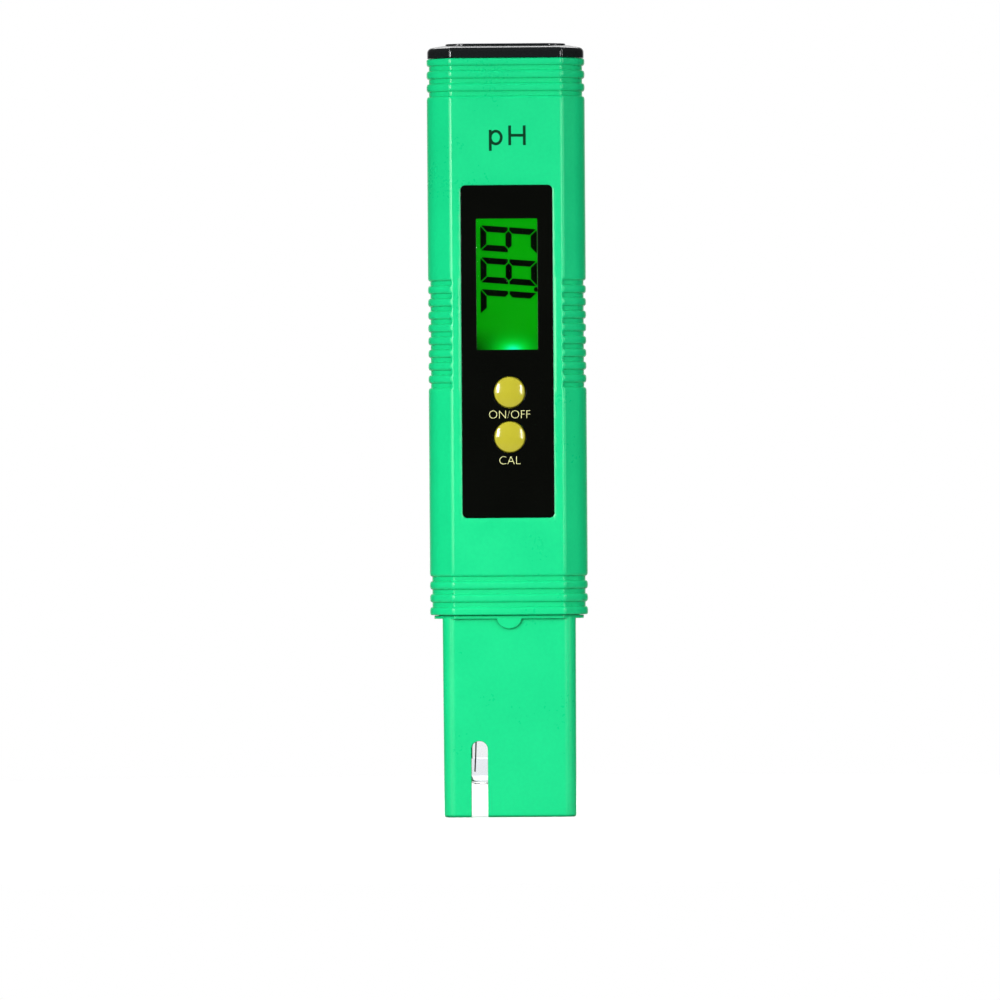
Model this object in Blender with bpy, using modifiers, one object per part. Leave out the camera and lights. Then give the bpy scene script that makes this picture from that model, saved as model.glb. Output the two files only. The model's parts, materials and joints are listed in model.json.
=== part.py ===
"""A pocket pH meter in the shape of a flat pen, in metres.

+Z runs up the pen from its probe skirt to its battery cap, the display faces -Y, and the origin
is at the middle of the skirt's lower rim. Every sub-part is its own closed solid. The battery
drawer slides out along +Z and each button travels along +Y.
"""

import math

import bmesh
import bpy
from mathutils import Matrix, Vector

MM = 0.001
MERGE = 0.000002  # corners closer than this are one

# Sleeve: an eight-sided tube with a flat front, a flat back and a narrow flat on each side
SLEEVE_LOW = 38.5 * MM
SLEEVE_HIGH = 144.5 * MM
HALF_WIDTH = 15.0 * MM
HALF_DEPTH = 7.0 * MM
FLAT_HALF = 10.6 * MM
SIDE_HALF = 2.9 * MM
CREASE_RADIUS = 1.2 * MM
SIDE_RADIUS = 3.0 * MM
WALL = 1.3 * MM

# Grooves round the sleeve's ends and across its sides
GROOVE_DEPTH = 0.45 * MM
GROOVE_HEIGHT = 0.9 * MM
TOP_GROOVES_LOW = 137.745 * MM
TOP_GROOVE_PITCH = 2.46 * MM
BOTTOM_GROOVES_LOW = 40.5 * MM
BOTTOM_GROOVE_PITCH = 2.46 * MM
END_GROOVES = 3
GRIP_LOW = 82.26 * MM
GRIP_PITCH = 2.4325 * MM
GRIP_GROOVES = 9
GRIP_START = 10.8 * MM

# Front panel and what shows through it
PANEL_LOW = 56.94 * MM
PANEL_HIGH = 120.31 * MM
PANEL_WIDTH = 17.4 * MM
PANEL_RADIUS = 0.8 * MM
PANEL_THICKNESS = 0.3 * MM
RECESS_DEPTH = 0.4 * MM
SEAT = 0.05 * MM  # between faces that lie on each other
FIT = 0.3 * MM  # between a piece and the hole it sits in
CLOSE_FIT = 0.15 * MM
WINDOW_LOW = 88.91 * MM
WINDOW_HIGH = 113.93 * MM
WINDOW_WIDTH = 11.7 * MM
WINDOW_FLANGE = 0.8 * MM

# Buttons
BUTTON_X = 0.35 * MM
POWER_Z = 80.87 * MM
CAL_Z = 72.35 * MM
KEY_RADIUS = 2.95 * MM
KEY_FRONT = -7.9 * MM
KEY_DOME = 0.45 * MM  # how far the dome falls from its middle to its rim
KEY_RIM_RADIUS = 0.35 * MM
KEY_SHOULDER = -7.15 * MM
KEY_FLANGE_FRONT = -5.5 * MM
KEY_BACK = -4.95 * MM
KEY_FLANGE_RADIUS = 3.9 * MM
SWITCH_SIZE = 6.0 * MM
SWITCH_FRONT = -4.4 * MM
PLUNGER_RADIUS = 1.5 * MM
PLUNGER_FRONT = -4.85 * MM
PLUNGER_BACK = -3.75 * MM
SWITCH_WELL = -3.3 * MM

# Board, its carrier and its screws
BOARD_FRONT = -0.9 * MM
BOARD_BACK = 0.1 * MM
BOARD_HALF_WIDTH = 12.4 * MM
BOARD_LOW = 50.0 * MM
BOARD_HIGH = 122.4 * MM
BOARD_RADIUS = 0.8 * MM
BOARD_SEAT = 0.1 * MM
CARRIER_FRONT = 0.4 * MM
CARRIER_BACK = 3.0 * MM
CARRIER_HALF_WIDTH = 12.6 * MM
CARRIER_LOW = 47.0 * MM
CARRIER_HIGH = 114.0 * MM
CARRIER_RAIL = 3.6 * MM
CARRIER_RADIUS = 1.0 * MM
SCREW_X = 11.1 * MM
SCREW_LEVELS = (53.0 * MM, 112.2 * MM)
SCREW_RADIUS = 0.6 * MM
SCREW_HOLE_RADIUS = 0.9 * MM
SCREW_HEAD_RADIUS = 1.1 * MM
SCREW_HEAD = 0.6 * MM
SCREW_END = 2.2 * MM

# Display stack behind the window, from the front glass back to the board
GLASS_THICKNESS = 0.55 * MM
FRONT_GLASS_Y = -5.35 * MM
REAR_GLASS_Y = -4.7 * MM
GLASS_LEFT = -7.6 * MM
FRONT_GLASS_RIGHT = 8.6 * MM
REAR_GLASS_RIGHT = 6.3 * MM
GLASS_LOW = 87.0 * MM
GLASS_HIGH = 115.4 * MM
ZEBRA_LEFT = 6.7 * MM
ZEBRA_RIGHT = 8.3 * MM
GUIDE_FRONT = -4.05 * MM
GUIDE_BACK = -2.5 * MM
GUIDE_LOW = 88.7 * MM
GUIDE_HIGH = 114.6 * MM
GUIDE_HALF_WIDTH = 6.2 * MM
LED_HALF_WIDTH = 1.2 * MM
LED_HEIGHT = 1.3 * MM
FRAME_FRONT = -5.4 * MM
FRAME_WALL = 1.1 * MM
FRAME_RADIUS = 0.5 * MM

# Battery cap and the drawer that hangs from it
CAP_LOW = 144.6 * MM
CAP_HIGH = 146.5 * MM
CAP_INSET = 0.15 * MM
CAP_RADIUS = 0.9 * MM
BOSS_WIDTH = 22.5 * MM
BOSS_DEPTH = 8.0 * MM
BOSS_HIGH = 147.0 * MM
BOSS_RADIUS = 0.25 * MM
PLUG_LOW = 140.5 * MM
PLUG_INSET = 2.0 * MM
PLUG_WALL = 1.2 * MM
CAP_SEAL_LOW = 142.2 * MM
SEAL_HEIGHT = 1.2 * MM
SEAL_INSET = 1.45 * MM
CAP_SEAL_THICKNESS = 0.4 * MM
TRAY_HALF_WIDTH = 12.6 * MM
TRAY_HALF_DEPTH = 3.05 * MM
TRAY_LOW = 123.6 * MM
TRAY_HIGH = 140.2 * MM
CELL_RADIUS = 5.8 * MM
CELL_THICKNESS = 5.4 * MM
CELL_X = 6.0 * MM
CELL_Z = 131.4 * MM
CELL_CAN_LIP = 0.35 * MM
CELL_LID_INSET = 0.9 * MM
LINK_HALF_WIDTH = 8.0 * MM
LINK_HEIGHT = 4.0 * MM
STRIP = 0.25 * MM  # thickness of the sprung metal strips
CONTACT_WIDTH = 4.0 * MM
CONTACT_FOOT_LOW = 115.5 * MM
CONTACT_FOOT_HIGH = 122.0 * MM
CONTACT_TIP = 133.0 * MM
CONTACT_Y = 3.3 * MM

# Probe skirt, with its collar and the plug that goes up into the sleeve
COLLAR_LOW = 37.8 * MM
COLLAR_HIGH = 38.4 * MM
COLLAR_INSET = 0.8 * MM
TAB_RADIUS = 2.44 * MM
TAB_Z = 38.35 * MM
SKIRT_HALF_WIDTH = 12.7 * MM
SKIRT_DRAFT = 0.3 * MM
SKIRT_HALF_DEPTH = 5.6 * MM
SKIRT_RADIUS = 2.5 * MM
SKIRT_WALL = 1.2 * MM
SKIRT_PLUG_HIGH = 45.0 * MM
SKIRT_PLUG_INSET = 1.6 * MM
PROBE_SEAL_LOW = 41.2 * MM
PROBE_SEAL_THICKNESS = 0.5 * MM
SLOT_X = -5.76 * MM
SLOT_WIDTH = 3.46 * MM
SLOT_TOP = 14.6 * MM

# Electrodes
HOLDER_LOW = 17.0 * MM
HOLDER_HIGH = 27.0 * MM
HOLDER_HALF_WIDTH = 11.1 * MM
HOLDER_HALF_DEPTH = 4.0 * MM
HOLDER_RADIUS = 1.1 * MM
BULB_X = -4.6 * MM
BULB_LOW = 6.24 * MM
BULB_RADIUS = 2.7 * MM
BULB_CORNER = 1.2 * MM
BULB_WALL = 0.45 * MM
TUBE_HIGH = 31.0 * MM
WIRE_X = -6.3 * MM
WIRE_RADIUS = 0.15 * MM
WIRE_LOW = 8.55 * MM
WIRE_HIGH = 33.0 * MM
STOPPER_LOW = 28.0 * MM
STOPPER_HIGH = 31.8 * MM
WIRE_HOLE_RADIUS = 0.3 * MM
STOPPER_FIT = 0.1 * MM
REFERENCE_X = 4.6 * MM
REFERENCE_RADIUS = 2.5 * MM
REFERENCE_LOW = 15.6 * MM
REFERENCE_WALL = 0.5 * MM
REFERENCE_FLOOR = 1.2 * MM
JUNCTION_RADIUS = 0.8 * MM
JUNCTION_LENGTH = 1.8 * MM
REFERENCE_WIRE_LOW = 19.0 * MM
SENSOR_RADIUS = 1.0 * MM
SENSOR_LOW = 15.6 * MM
SENSOR_HIGH = 32.0 * MM
BORE_FIT = 0.2 * MM

# Leads from the electrodes up to the board
LEAD_RADIUS = 0.4 * MM
LEAD_LOW = 33.4 * MM
LEAD_END_Y = -1.6 * MM
LEAD_END_Z = 54.0 * MM
LEAD_END_X = 5.0 * MM
LEAD_STRAIGHT = 4.0 * MM  # of its upper end, along the board

# How finely round things are divided
ROUND_STEPS = 32
SMALL_STEPS = 16
WIRE_STEPS = 8
LEAD_STEPS = 10
CREASE_STEPS = 2
CORNER_STEPS = 4
DOME_STEPS = 4
RIM_STEPS = 3

GREEN = (0.021, 0.775, 0.296)
BLACK = (0.020, 0.024, 0.027)


def make_collection(name):
    collection = bpy.data.collections.new(name)
    bpy.context.scene.collection.children.link(collection)
    return collection


def clear_scene():
    for obj in list(bpy.data.objects):
        bpy.data.objects.remove(obj, do_unlink=True)


clear_scene()
PARTS = make_collection("pocket_ph_meter")
TOOLS = make_collection("cutters")


def finish_material(name, color, roughness, metallic=0.0, alpha=1.0):
    material = bpy.data.materials.new(name)
    material.use_nodes = True
    shader = material.node_tree.nodes["Principled BSDF"]
    shader.inputs["Base Color"].default_value = (*color, 1.0)
    shader.inputs["Roughness"].default_value = roughness
    shader.inputs["Metallic"].default_value = metallic
    shader.inputs["Alpha"].default_value = alpha
    material.diffuse_color = (*color, alpha)
    return material


def arc(center, radius, start, end, steps):
    """Points along an arc, both ends included; angles in degrees, counter-clockwise."""
    points = []
    for i in range(steps + 1):
        angle = math.radians(start + (end - start) * i / steps)
        points.append((center[0] + radius * math.cos(angle), center[1] + radius * math.sin(angle)))
    return points


def inset_corners(corners, inset):
    """The corners of a counter-clockwise convex outline with every side moved in by inset."""
    moved = []
    for i, corner in enumerate(corners):
        here = Vector(corner)
        before = (here - Vector(corners[i - 1])).normalized()
        after = (Vector(corners[(i + 1) % len(corners)]) - here).normalized()
        half_turn = before.angle(after) / 2
        inward = (after - before).normalized()
        moved.append(here + inward * inset / math.cos(half_turn))
    return moved


def rounded(corners, radii, steps):
    """A counter-clockwise convex outline with its corners rounded; a radius of 0 keeps one sharp."""
    points = []
    for i, corner in enumerate(corners):
        here = Vector(corner)
        before = (here - Vector(corners[i - 1])).normalized()
        after = (Vector(corners[(i + 1) % len(corners)]) - here).normalized()
        half_turn = before.angle(after) / 2
        if radii[i] <= 0:
            points.append(tuple(here))
            continue
        center = here + (after - before).normalized() * radii[i] / math.cos(half_turn)
        start = math.degrees(math.atan2(before.y, before.x)) - 90
        points += arc(center, radii[i], start, start + math.degrees(2 * half_turn), steps[i])
    return points


def sleeve_outline(inset=0.0):
    """The sleeve's cross-section, moved in by inset."""
    corners = [
        (-FLAT_HALF, -HALF_DEPTH),
        (FLAT_HALF, -HALF_DEPTH),
        (HALF_WIDTH, -SIDE_HALF),
        (HALF_WIDTH, SIDE_HALF),
        (FLAT_HALF, HALF_DEPTH),
        (-FLAT_HALF, HALF_DEPTH),
        (-HALF_WIDTH, SIDE_HALF),
        (-HALF_WIDTH, -SIDE_HALF),
    ]
    crease = CREASE_RADIUS - inset
    side = SIDE_RADIUS - inset
    radii = (crease, crease, side, side) * 2
    steps = (CREASE_STEPS, CREASE_STEPS, CORNER_STEPS, CORNER_STEPS) * 2
    return rounded(inset_corners(corners, inset), radii, steps)


def rectangle(half_width, half_height, radius=0.0, center=(0.0, 0.0)):
    x, y = center
    corners = [
        (x - half_width, y - half_height),
        (x + half_width, y - half_height),
        (x + half_width, y + half_height),
        (x - half_width, y + half_height),
    ]
    return rounded(corners, [radius] * 4, [CORNER_STEPS] * 4)


def stadium(half_width, radius):
    """A long outline with a half circle at each end."""
    straight = half_width - radius
    steps = ROUND_STEPS // 2
    return arc((straight, 0), radius, -90, 90, steps) + arc((-straight, 0), radius, 90, 270, steps)


def new_object(name, mesh, is_tool):
    obj = bpy.data.objects.new(name, mesh)
    (TOOLS if is_tool else PARTS).objects.link(obj)
    if is_tool:
        obj.hide_render = True
        obj.display_type = "WIRE"
    return obj


def solid(name, bm, is_tool=False):
    """An object from a bmesh, with its faces turned outwards."""
    bmesh.ops.recalc_face_normals(bm, faces=bm.faces)
    mesh = bpy.data.meshes.new(name)
    bm.to_mesh(mesh)
    bm.free()
    return new_object(name, mesh, is_tool)


def mesh_of_curve(curve_object):
    """The curve's mesh with its caps welded; the curve itself is removed."""
    depsgraph = bpy.context.evaluated_depsgraph_get()
    mesh = bpy.data.meshes.new_from_object(curve_object.evaluated_get(depsgraph))
    matrix = curve_object.matrix_world.copy()
    bpy.data.objects.remove(curve_object, do_unlink=True)
    bm = bmesh.new()
    bm.from_mesh(mesh)
    bpy.data.meshes.remove(mesh)
    bmesh.ops.remove_doubles(bm, verts=bm.verts, dist=MERGE)
    bmesh.ops.transform(bm, matrix=matrix, verts=bm.verts)
    return bm


def add_spline(curve, points, closed):
    spline = curve.splines.new("POLY")
    spline.points.add(len(points) - 1)
    for target, point in zip(spline.points, points):
        target.co = (*point, *([0.0] * (3 - len(point))), 1.0)
    spline.use_cyclic_u = closed


# Turns a flat outline, drawn in X and Y and thick along Z, to stand across another axis
TURNS = {
    "Z": Matrix.Identity(4),
    "Y": Matrix.Rotation(math.radians(90), 4, "X"),
    "X": Matrix.Rotation(math.radians(90), 4, "Z") @ Matrix.Rotation(math.radians(90), 4, "X"),
}


def prism(name, outlines, low, high, axis="Z", is_tool=False):
    """A flat outline, with any holes, extruded from low to high along an axis.

    Across Z an outline is in (x, y), across Y in (x, z) and across X in (y, z).
    """
    curve = bpy.data.curves.new(name, "CURVE")
    curve.dimensions = "2D"
    curve.fill_mode = "BOTH"
    curve.extrude = (high - low) / 2
    for outline in outlines:
        add_spline(curve, outline, closed=True)
    obj = bpy.data.objects.new(name, curve)
    TOOLS.objects.link(obj)
    middle = {"X": (1, 0, 0), "Y": (0, 1, 0), "Z": (0, 0, 1)}[axis]
    obj.matrix_world = Matrix.Translation(Vector(middle) * (low + high) / 2) @ TURNS[axis]
    bpy.context.view_layer.update()
    return solid(name, mesh_of_curve(obj), is_tool)


def box(name, xs, ys, zs, is_tool=False):
    bm = bmesh.new()
    bmesh.ops.create_cube(bm, size=1.0)
    lows = Vector((xs[0], ys[0], zs[0]))
    highs = Vector((xs[1], ys[1], zs[1]))
    bmesh.ops.scale(bm, vec=highs - lows, verts=bm.verts)
    bmesh.ops.translate(bm, vec=(lows + highs) / 2, verts=bm.verts)
    return solid(name, bm, is_tool)


def cylinder(name, radius, low, high, center, axis="Z", steps=ROUND_STEPS, is_tool=False):
    """A cylinder from low to high along an axis; center is its place across that axis."""
    bm = bmesh.new()
    bmesh.ops.create_cone(
        bm, cap_ends=True, segments=steps, radius1=radius, radius2=radius, depth=high - low
    )
    if axis == "Z":
        middle = Vector((center[0], center[1], (low + high) / 2))
    else:
        middle = Vector((center[0], (low + high) / 2, center[1]))
    bmesh.ops.transform(bm, matrix=Matrix.Translation(middle) @ TURNS[axis], verts=bm.verts)
    obj = solid(name, bm, is_tool)
    smooth(obj)
    return obj


def turned(name, profile, matrix, steps=ROUND_STEPS):
    """A turned solid; the profile of (radius, height) pairs runs down its outer side."""
    mesh = bpy.data.meshes.new(name)
    verts = [(radius, 0.0, height) for radius, height in profile]
    mesh.from_pydata(verts, [(i, i + 1) for i in range(len(verts) - 1)], [])
    obj = new_object(name, mesh, is_tool=False)
    obj.matrix_world = matrix
    screw = obj.modifiers.new("turn", "SCREW")
    screw.steps = steps
    screw.render_steps = steps
    screw.use_merge_vertices = True
    screw.merge_threshold = MERGE
    screw.use_smooth_shade = True
    return obj


def tube(name, points, radius):
    """A round lead along a route."""
    curve = bpy.data.curves.new(name, "CURVE")
    curve.dimensions = "3D"
    curve.bevel_depth = radius
    curve.bevel_resolution = 2
    curve.use_fill_caps = True
    add_spline(curve, points, closed=False)
    obj = bpy.data.objects.new(name, curve)
    TOOLS.objects.link(obj)
    bpy.context.view_layer.update()
    obj = solid(name, mesh_of_curve(obj))
    smooth(obj)
    return obj


def smooth(obj, degrees=40):
    obj.data.shade_smooth()
    obj.data.set_sharp_from_angle(angle=math.radians(degrees))


def combine(obj, tool, operation):
    modifier = obj.modifiers.new(tool.name, "BOOLEAN")
    modifier.operation = operation
    modifier.solver = "EXACT"
    modifier.object = tool


def cut(obj, *tools):
    for tool in tools:
        combine(obj, tool, "DIFFERENCE")


def join(obj, *tools):
    for tool in tools:
        combine(obj, tool, "UNION")


def repeat_up(obj, count, pitch):
    """Repeats a cutter upwards at an even pitch."""
    array = obj.modifiers.new("repeat", "ARRAY")
    array.use_relative_offset = False
    array.use_constant_offset = True
    array.constant_offset_displace = (0.0, 0.0, pitch)
    array.count = count


def round_rim(obj, height, radius, segments):
    """Rounds the outer edges that lie at one height."""
    bm = bmesh.new()
    bm.from_mesh(obj.data)
    weights = bm.edges.layers.float.new("bevel_weight_edge")
    for edge in bm.edges:
        at_height = all(abs(v.co.z - height) < MERGE for v in edge.verts)
        if at_height and edge.calc_face_angle(0.0) > math.radians(60):
            edge[weights] = 1.0
    bm.to_mesh(obj.data)
    bm.free()
    bevel = obj.modifiers.new("rim", "BEVEL")
    bevel.limit_method = "WEIGHT"
    bevel.width = radius
    bevel.segments = segments


def paint(material, *objects):
    for obj in objects:
        obj.data.materials.clear()
        obj.data.materials.append(material)


def set_origin(obj, point):
    """Moves an object's origin to a point and leaves its shape where it is."""
    offset = Vector(point) - obj.matrix_world.translation
    obj.data.transform(Matrix.Translation(-offset))
    obj.location = point


def hang_from(empty_name, point, *objects):
    """Parents pieces that move together to an empty at a point on their joint's axis."""
    empty = bpy.data.objects.new(empty_name, None)
    empty.empty_display_size = 0.005
    empty.location = point
    PARTS.objects.link(empty)
    bpy.context.view_layer.update()
    for obj in objects:
        matrix = obj.matrix_world.copy()
        obj.parent = empty
        obj.matrix_parent_inverse = empty.matrix_world.inverted()
        obj.matrix_world = matrix


# ---------------------------------------------------------------- housing


def ring_cutter(name, low, pitch):
    """Cuts the grooves that run all round one end of the sleeve."""
    outer = rectangle(HALF_WIDTH + WALL, HALF_DEPTH + WALL)
    outlines = (outer, sleeve_outline(GROOVE_DEPTH))
    start = low - GROOVE_HEIGHT / 2
    cutter = prism(name, outlines, start, start + GROOVE_HEIGHT, is_tool=True)
    repeat_up(cutter, END_GROOVES, pitch)
    return cutter


def bevel_y(x, inset):
    """How far back the rear slanted face lies at x, moved in by inset."""
    across = Vector((HALF_DEPTH - SIDE_HALF, HALF_WIDTH - FLAT_HALF)).normalized()
    reach = across.x * FLAT_HALF + across.y * HALF_DEPTH - inset
    return (reach - across.x * x) / across.y


def grip_cutter():
    """Cuts the short grooves that wrap each side, from one slanted face to the other."""
    clear_x = HALF_WIDTH + WALL
    clear_y = HALF_DEPTH + WALL
    start_y = bevel_y(GRIP_START, GROOVE_DEPTH)
    floor = [p for p in sleeve_outline(GROOVE_DEPTH) if p[0] > GRIP_START]
    right = [(GRIP_START, -clear_y), (GRIP_START, -start_y), *floor]
    right += [(GRIP_START, start_y), (GRIP_START, clear_y), (clear_x, clear_y), (clear_x, -clear_y)]
    left = [(-x, y) for x, y in reversed(right)]
    start = GRIP_LOW - GROOVE_HEIGHT / 2
    cutter = prism("grip_cutter", (right, left), start, start + GROOVE_HEIGHT, is_tool=True)
    repeat_up(cutter, GRIP_GROOVES, GRIP_PITCH)
    return cutter


def panel_outline(grow):
    middle = (PANEL_LOW + PANEL_HIGH) / 2
    half_height = (PANEL_HIGH - PANEL_LOW) / 2
    return rectangle(PANEL_WIDTH / 2 + grow, half_height + grow, PANEL_RADIUS, (0.0, middle))


def window_outline(grow):
    middle = (WINDOW_LOW + WINDOW_HIGH) / 2
    half_height = (WINDOW_HIGH - WINDOW_LOW) / 2
    return rectangle(WINDOW_WIDTH / 2 + grow, half_height + grow, 0.0, (0.0, middle))


def key_hole(name, z):
    return cylinder(
        name, KEY_RADIUS + FIT, -HALF_DEPTH - WALL, -HALF_DEPTH + 2 * WALL, (BUTTON_X, z), "Y",
        is_tool=True,
    )


def build_sleeve():
    sleeve = prism(
        "housing_sleeve", (sleeve_outline(), sleeve_outline(WALL)), SLEEVE_LOW, SLEEVE_HIGH
    )
    outside = -HALF_DEPTH - WALL
    recess = prism(
        "recess_cutter", (panel_outline(CLOSE_FIT),), outside, -HALF_DEPTH + RECESS_DEPTH, "Y",
        is_tool=True,
    )
    opening = prism(
        "opening_cutter", (window_outline(WINDOW_FLANGE),), outside, -HALF_DEPTH + 2 * WALL, "Y",
        is_tool=True,
    )
    cut(
        sleeve,
        recess,
        opening,
        key_hole("power_hole_cutter", POWER_Z),
        key_hole("cal_hole_cutter", CAL_Z),
        ring_cutter("top_groove_cutter", TOP_GROOVES_LOW, TOP_GROOVE_PITCH),
        ring_cutter("bottom_groove_cutter", BOTTOM_GROOVES_LOW, BOTTOM_GROOVE_PITCH),
        grip_cutter(),
    )
    return sleeve


def build_panel():
    back = -HALF_DEPTH + RECESS_DEPTH - SEAT
    front = back - PANEL_THICKNESS
    panel = prism("front_panel", (panel_outline(-SEAT), window_outline(0.0)), front, back, "Y")
    cut(panel, key_hole("power_panel_cutter", POWER_Z), key_hole("cal_panel_cutter", CAL_Z))
    return panel


def build_window():
    """A clear lens that fills the panel's opening, with a wider flange behind the panel."""
    flange_front = -HALF_DEPTH + RECESS_DEPTH + SEAT
    front = -HALF_DEPTH + RECESS_DEPTH - SEAT - PANEL_THICKNESS
    window = prism(
        "display_window", (window_outline(WINDOW_FLANGE - CLOSE_FIT),), flange_front,
        -HALF_DEPTH + WALL - SEAT, "Y",
    )
    lens = prism(
        "window_lens", (window_outline(-2 * SEAT),), front, flange_front + 2 * SEAT, "Y",
        is_tool=True,
    )
    join(window, lens)
    return window


def build_keycap(name, z):
    """A domed button with a flange that keeps it behind the front wall."""
    rim = KEY_RADIUS - KEY_RIM_RADIUS
    profile = []
    for i in range(DOME_STEPS + 1):
        share = i / DOME_STEPS
        profile.append((rim * share, KEY_FRONT + KEY_DOME * share**2))
    profile += [
        (KEY_RADIUS, KEY_SHOULDER),
        (KEY_RADIUS, KEY_FLANGE_FRONT),
        (KEY_FLANGE_RADIUS, KEY_FLANGE_FRONT),
        (KEY_FLANGE_RADIUS, KEY_BACK),
        (0.0, KEY_BACK),
    ]
    front_up = [(radius, -y) for radius, y in profile]
    place = Matrix.Translation((BUTTON_X, 0.0, z)) @ Matrix.Rotation(math.radians(90), 4, "X")
    return turned(name, front_up, place)


def build_button(prefix, z):
    """A keycap, and under it a switch on the board with its plunger."""
    keycap = build_keycap(prefix + "_keycap", z)
    half = SWITCH_SIZE / 2
    switch = box(
        prefix + "_switch_body",
        (BUTTON_X - half, BUTTON_X + half),
        (SWITCH_FRONT, BOARD_FRONT - BOARD_SEAT),
        (z - half, z + half),
    )
    well = cylinder(
        prefix + "_well_cutter", PLUNGER_RADIUS + FIT, SWITCH_FRONT - WALL, SWITCH_WELL,
        (BUTTON_X, z), "Y", is_tool=True,
    )
    cut(switch, well)
    plunger = cylinder(
        prefix + "_switch_plunger", PLUNGER_RADIUS, PLUNGER_FRONT, PLUNGER_BACK, (BUTTON_X, z), "Y"
    )
    set_origin(plunger, (BUTTON_X, 0.0, z))
    return keycap, switch, plunger


# ---------------------------------------------------------------- display and board


def slab(name, left, right, front, back, low, high):
    return box(name, (left, right), (front, back), (low, high))


def build_display():
    front_glass = slab(
        "lcd_front_glass", GLASS_LEFT, FRONT_GLASS_RIGHT, FRONT_GLASS_Y,
        FRONT_GLASS_Y + GLASS_THICKNESS, GLASS_LOW, GLASS_HIGH,
    )
    rear_glass = slab(
        "lcd_rear_glass", GLASS_LEFT, REAR_GLASS_RIGHT, REAR_GLASS_Y,
        REAR_GLASS_Y + GLASS_THICKNESS, GLASS_LOW, GLASS_HIGH,
    )
    zebra = slab(
        "zebra_strip", ZEBRA_LEFT, ZEBRA_RIGHT, REAR_GLASS_Y, BOARD_FRONT - BOARD_SEAT,
        GLASS_LOW + FIT, GLASS_HIGH - FIT,
    )
    guide = slab(
        "backlight_guide", -GUIDE_HALF_WIDTH, GUIDE_HALF_WIDTH, GUIDE_FRONT, GUIDE_BACK,
        GUIDE_LOW, GUIDE_HIGH,
    )
    led_high = GUIDE_LOW - FIT
    led = slab(
        "backlight_led", -LED_HALF_WIDTH, LED_HALF_WIDTH, GUIDE_FRONT + FIT / 2,
        GUIDE_BACK - FIT / 2, led_high - LED_HEIGHT, led_high,
    )
    return front_glass, rear_glass, zebra, guide, led


def build_lcd_frame():
    """A box frame with four walls, open towards the window and the board."""
    left, right = GLASS_LEFT - FIT, FRONT_GLASS_RIGHT + FIT
    low, high = GLASS_LOW - 2 * FIT, GLASS_HIGH + FIT
    middle = ((left + right) / 2, (low + high) / 2)
    half_width, half_height = (right - left) / 2, (high - low) / 2
    inner = rectangle(half_width, half_height, 0.0, middle)
    outer = rectangle(half_width + FRAME_WALL, half_height + FRAME_WALL, FRAME_RADIUS, middle)
    return prism("lcd_frame", (outer, inner), FRAME_FRONT, BOARD_FRONT - BOARD_SEAT, "Y")


def screw_places():
    return [(x, z) for z in SCREW_LEVELS for x in (-SCREW_X, SCREW_X)]


def screw_holes(prefix, front, back):
    return [
        cylinder(
            f"{prefix}_hole_cutter_{i}", SCREW_HOLE_RADIUS, front, back, place, "Y", SMALL_STEPS,
            is_tool=True,
        )
        for i, place in enumerate(screw_places(), 1)
    ]


def build_board():
    middle = (0.0, (BOARD_LOW + BOARD_HIGH) / 2)
    outline = rectangle(BOARD_HALF_WIDTH, (BOARD_HIGH - BOARD_LOW) / 2, BOARD_RADIUS, middle)
    board = prism("circuit_board", (outline,), BOARD_FRONT, BOARD_BACK, "Y")
    cut(board, *screw_holes("board", BOARD_FRONT - WALL, BOARD_BACK + WALL))
    return board


def build_carrier():
    """The frame behind the board that its four screws go into."""
    middle = (0.0, (CARRIER_LOW + CARRIER_HIGH) / 2)
    half_height = (CARRIER_HIGH - CARRIER_LOW) / 2
    outer = rectangle(CARRIER_HALF_WIDTH, half_height, CARRIER_RADIUS, middle)
    inner = rectangle(
        CARRIER_HALF_WIDTH - CARRIER_RAIL, half_height - CARRIER_RAIL, CARRIER_RADIUS, middle
    )
    carrier = prism("board_carrier", (outer, inner), CARRIER_FRONT, CARRIER_BACK, "Y")
    cut(carrier, *screw_holes("carrier", CARRIER_FRONT - WALL, SCREW_END + FIT))
    return carrier


def build_screws():
    """Pan-head screws, driven from the front of the board."""
    head_back = BOARD_FRONT - BOARD_SEAT
    screws = []
    for i, (x, z) in enumerate(screw_places(), 1):
        profile = [
            (0.0, -(head_back - SCREW_HEAD)),
            (SCREW_HEAD_RADIUS * 0.7, -(head_back - SCREW_HEAD)),
            (SCREW_HEAD_RADIUS, -(head_back - SCREW_HEAD * 0.6)),
            (SCREW_HEAD_RADIUS, -head_back),
            (SCREW_RADIUS, -head_back),
            (SCREW_RADIUS, -SCREW_END + SCREW_RADIUS / 2),
            (0.0, -SCREW_END),
        ]
        place = Matrix.Translation((x, 0.0, z)) @ Matrix.Rotation(math.radians(90), 4, "X")
        screws.append(turned(f"board_screw_{i}", profile, place, SMALL_STEPS))
    return screws


def chip(name, x, z, width, height, thickness):
    """A component on the back of the board."""
    back = BOARD_BACK + BOARD_SEAT
    return box(
        name, (x - width / 2, x + width / 2), (back, back + thickness),
        (z - height / 2, z + height / 2),
    )


def build_components():
    meter_chip = chip("meter_chip", 0.0, 96.0 * MM, 7.0 * MM, 7.0 * MM, 1.2 * MM)
    amplifier = chip("amplifier_chip", -1.5 * MM, 64.0 * MM, 4.0 * MM, 5.0 * MM, 1.4 * MM)
    crystal = chip("crystal", 3.5 * MM, 85.0 * MM, 2.2 * MM, 6.0 * MM, 1.6 * MM)
    capacitors = [
        chip(f"capacitor_{i}", x, z, 1.6 * MM, 3.0 * MM, 1.3 * MM)
        for i, (x, z) in enumerate(((4.8 * MM, 64.0 * MM), (-5.0 * MM, 85.0 * MM)), 1)
    ]
    return meter_chip, amplifier, crystal, capacitors


# ---------------------------------------------------------------- battery drawer


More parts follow.
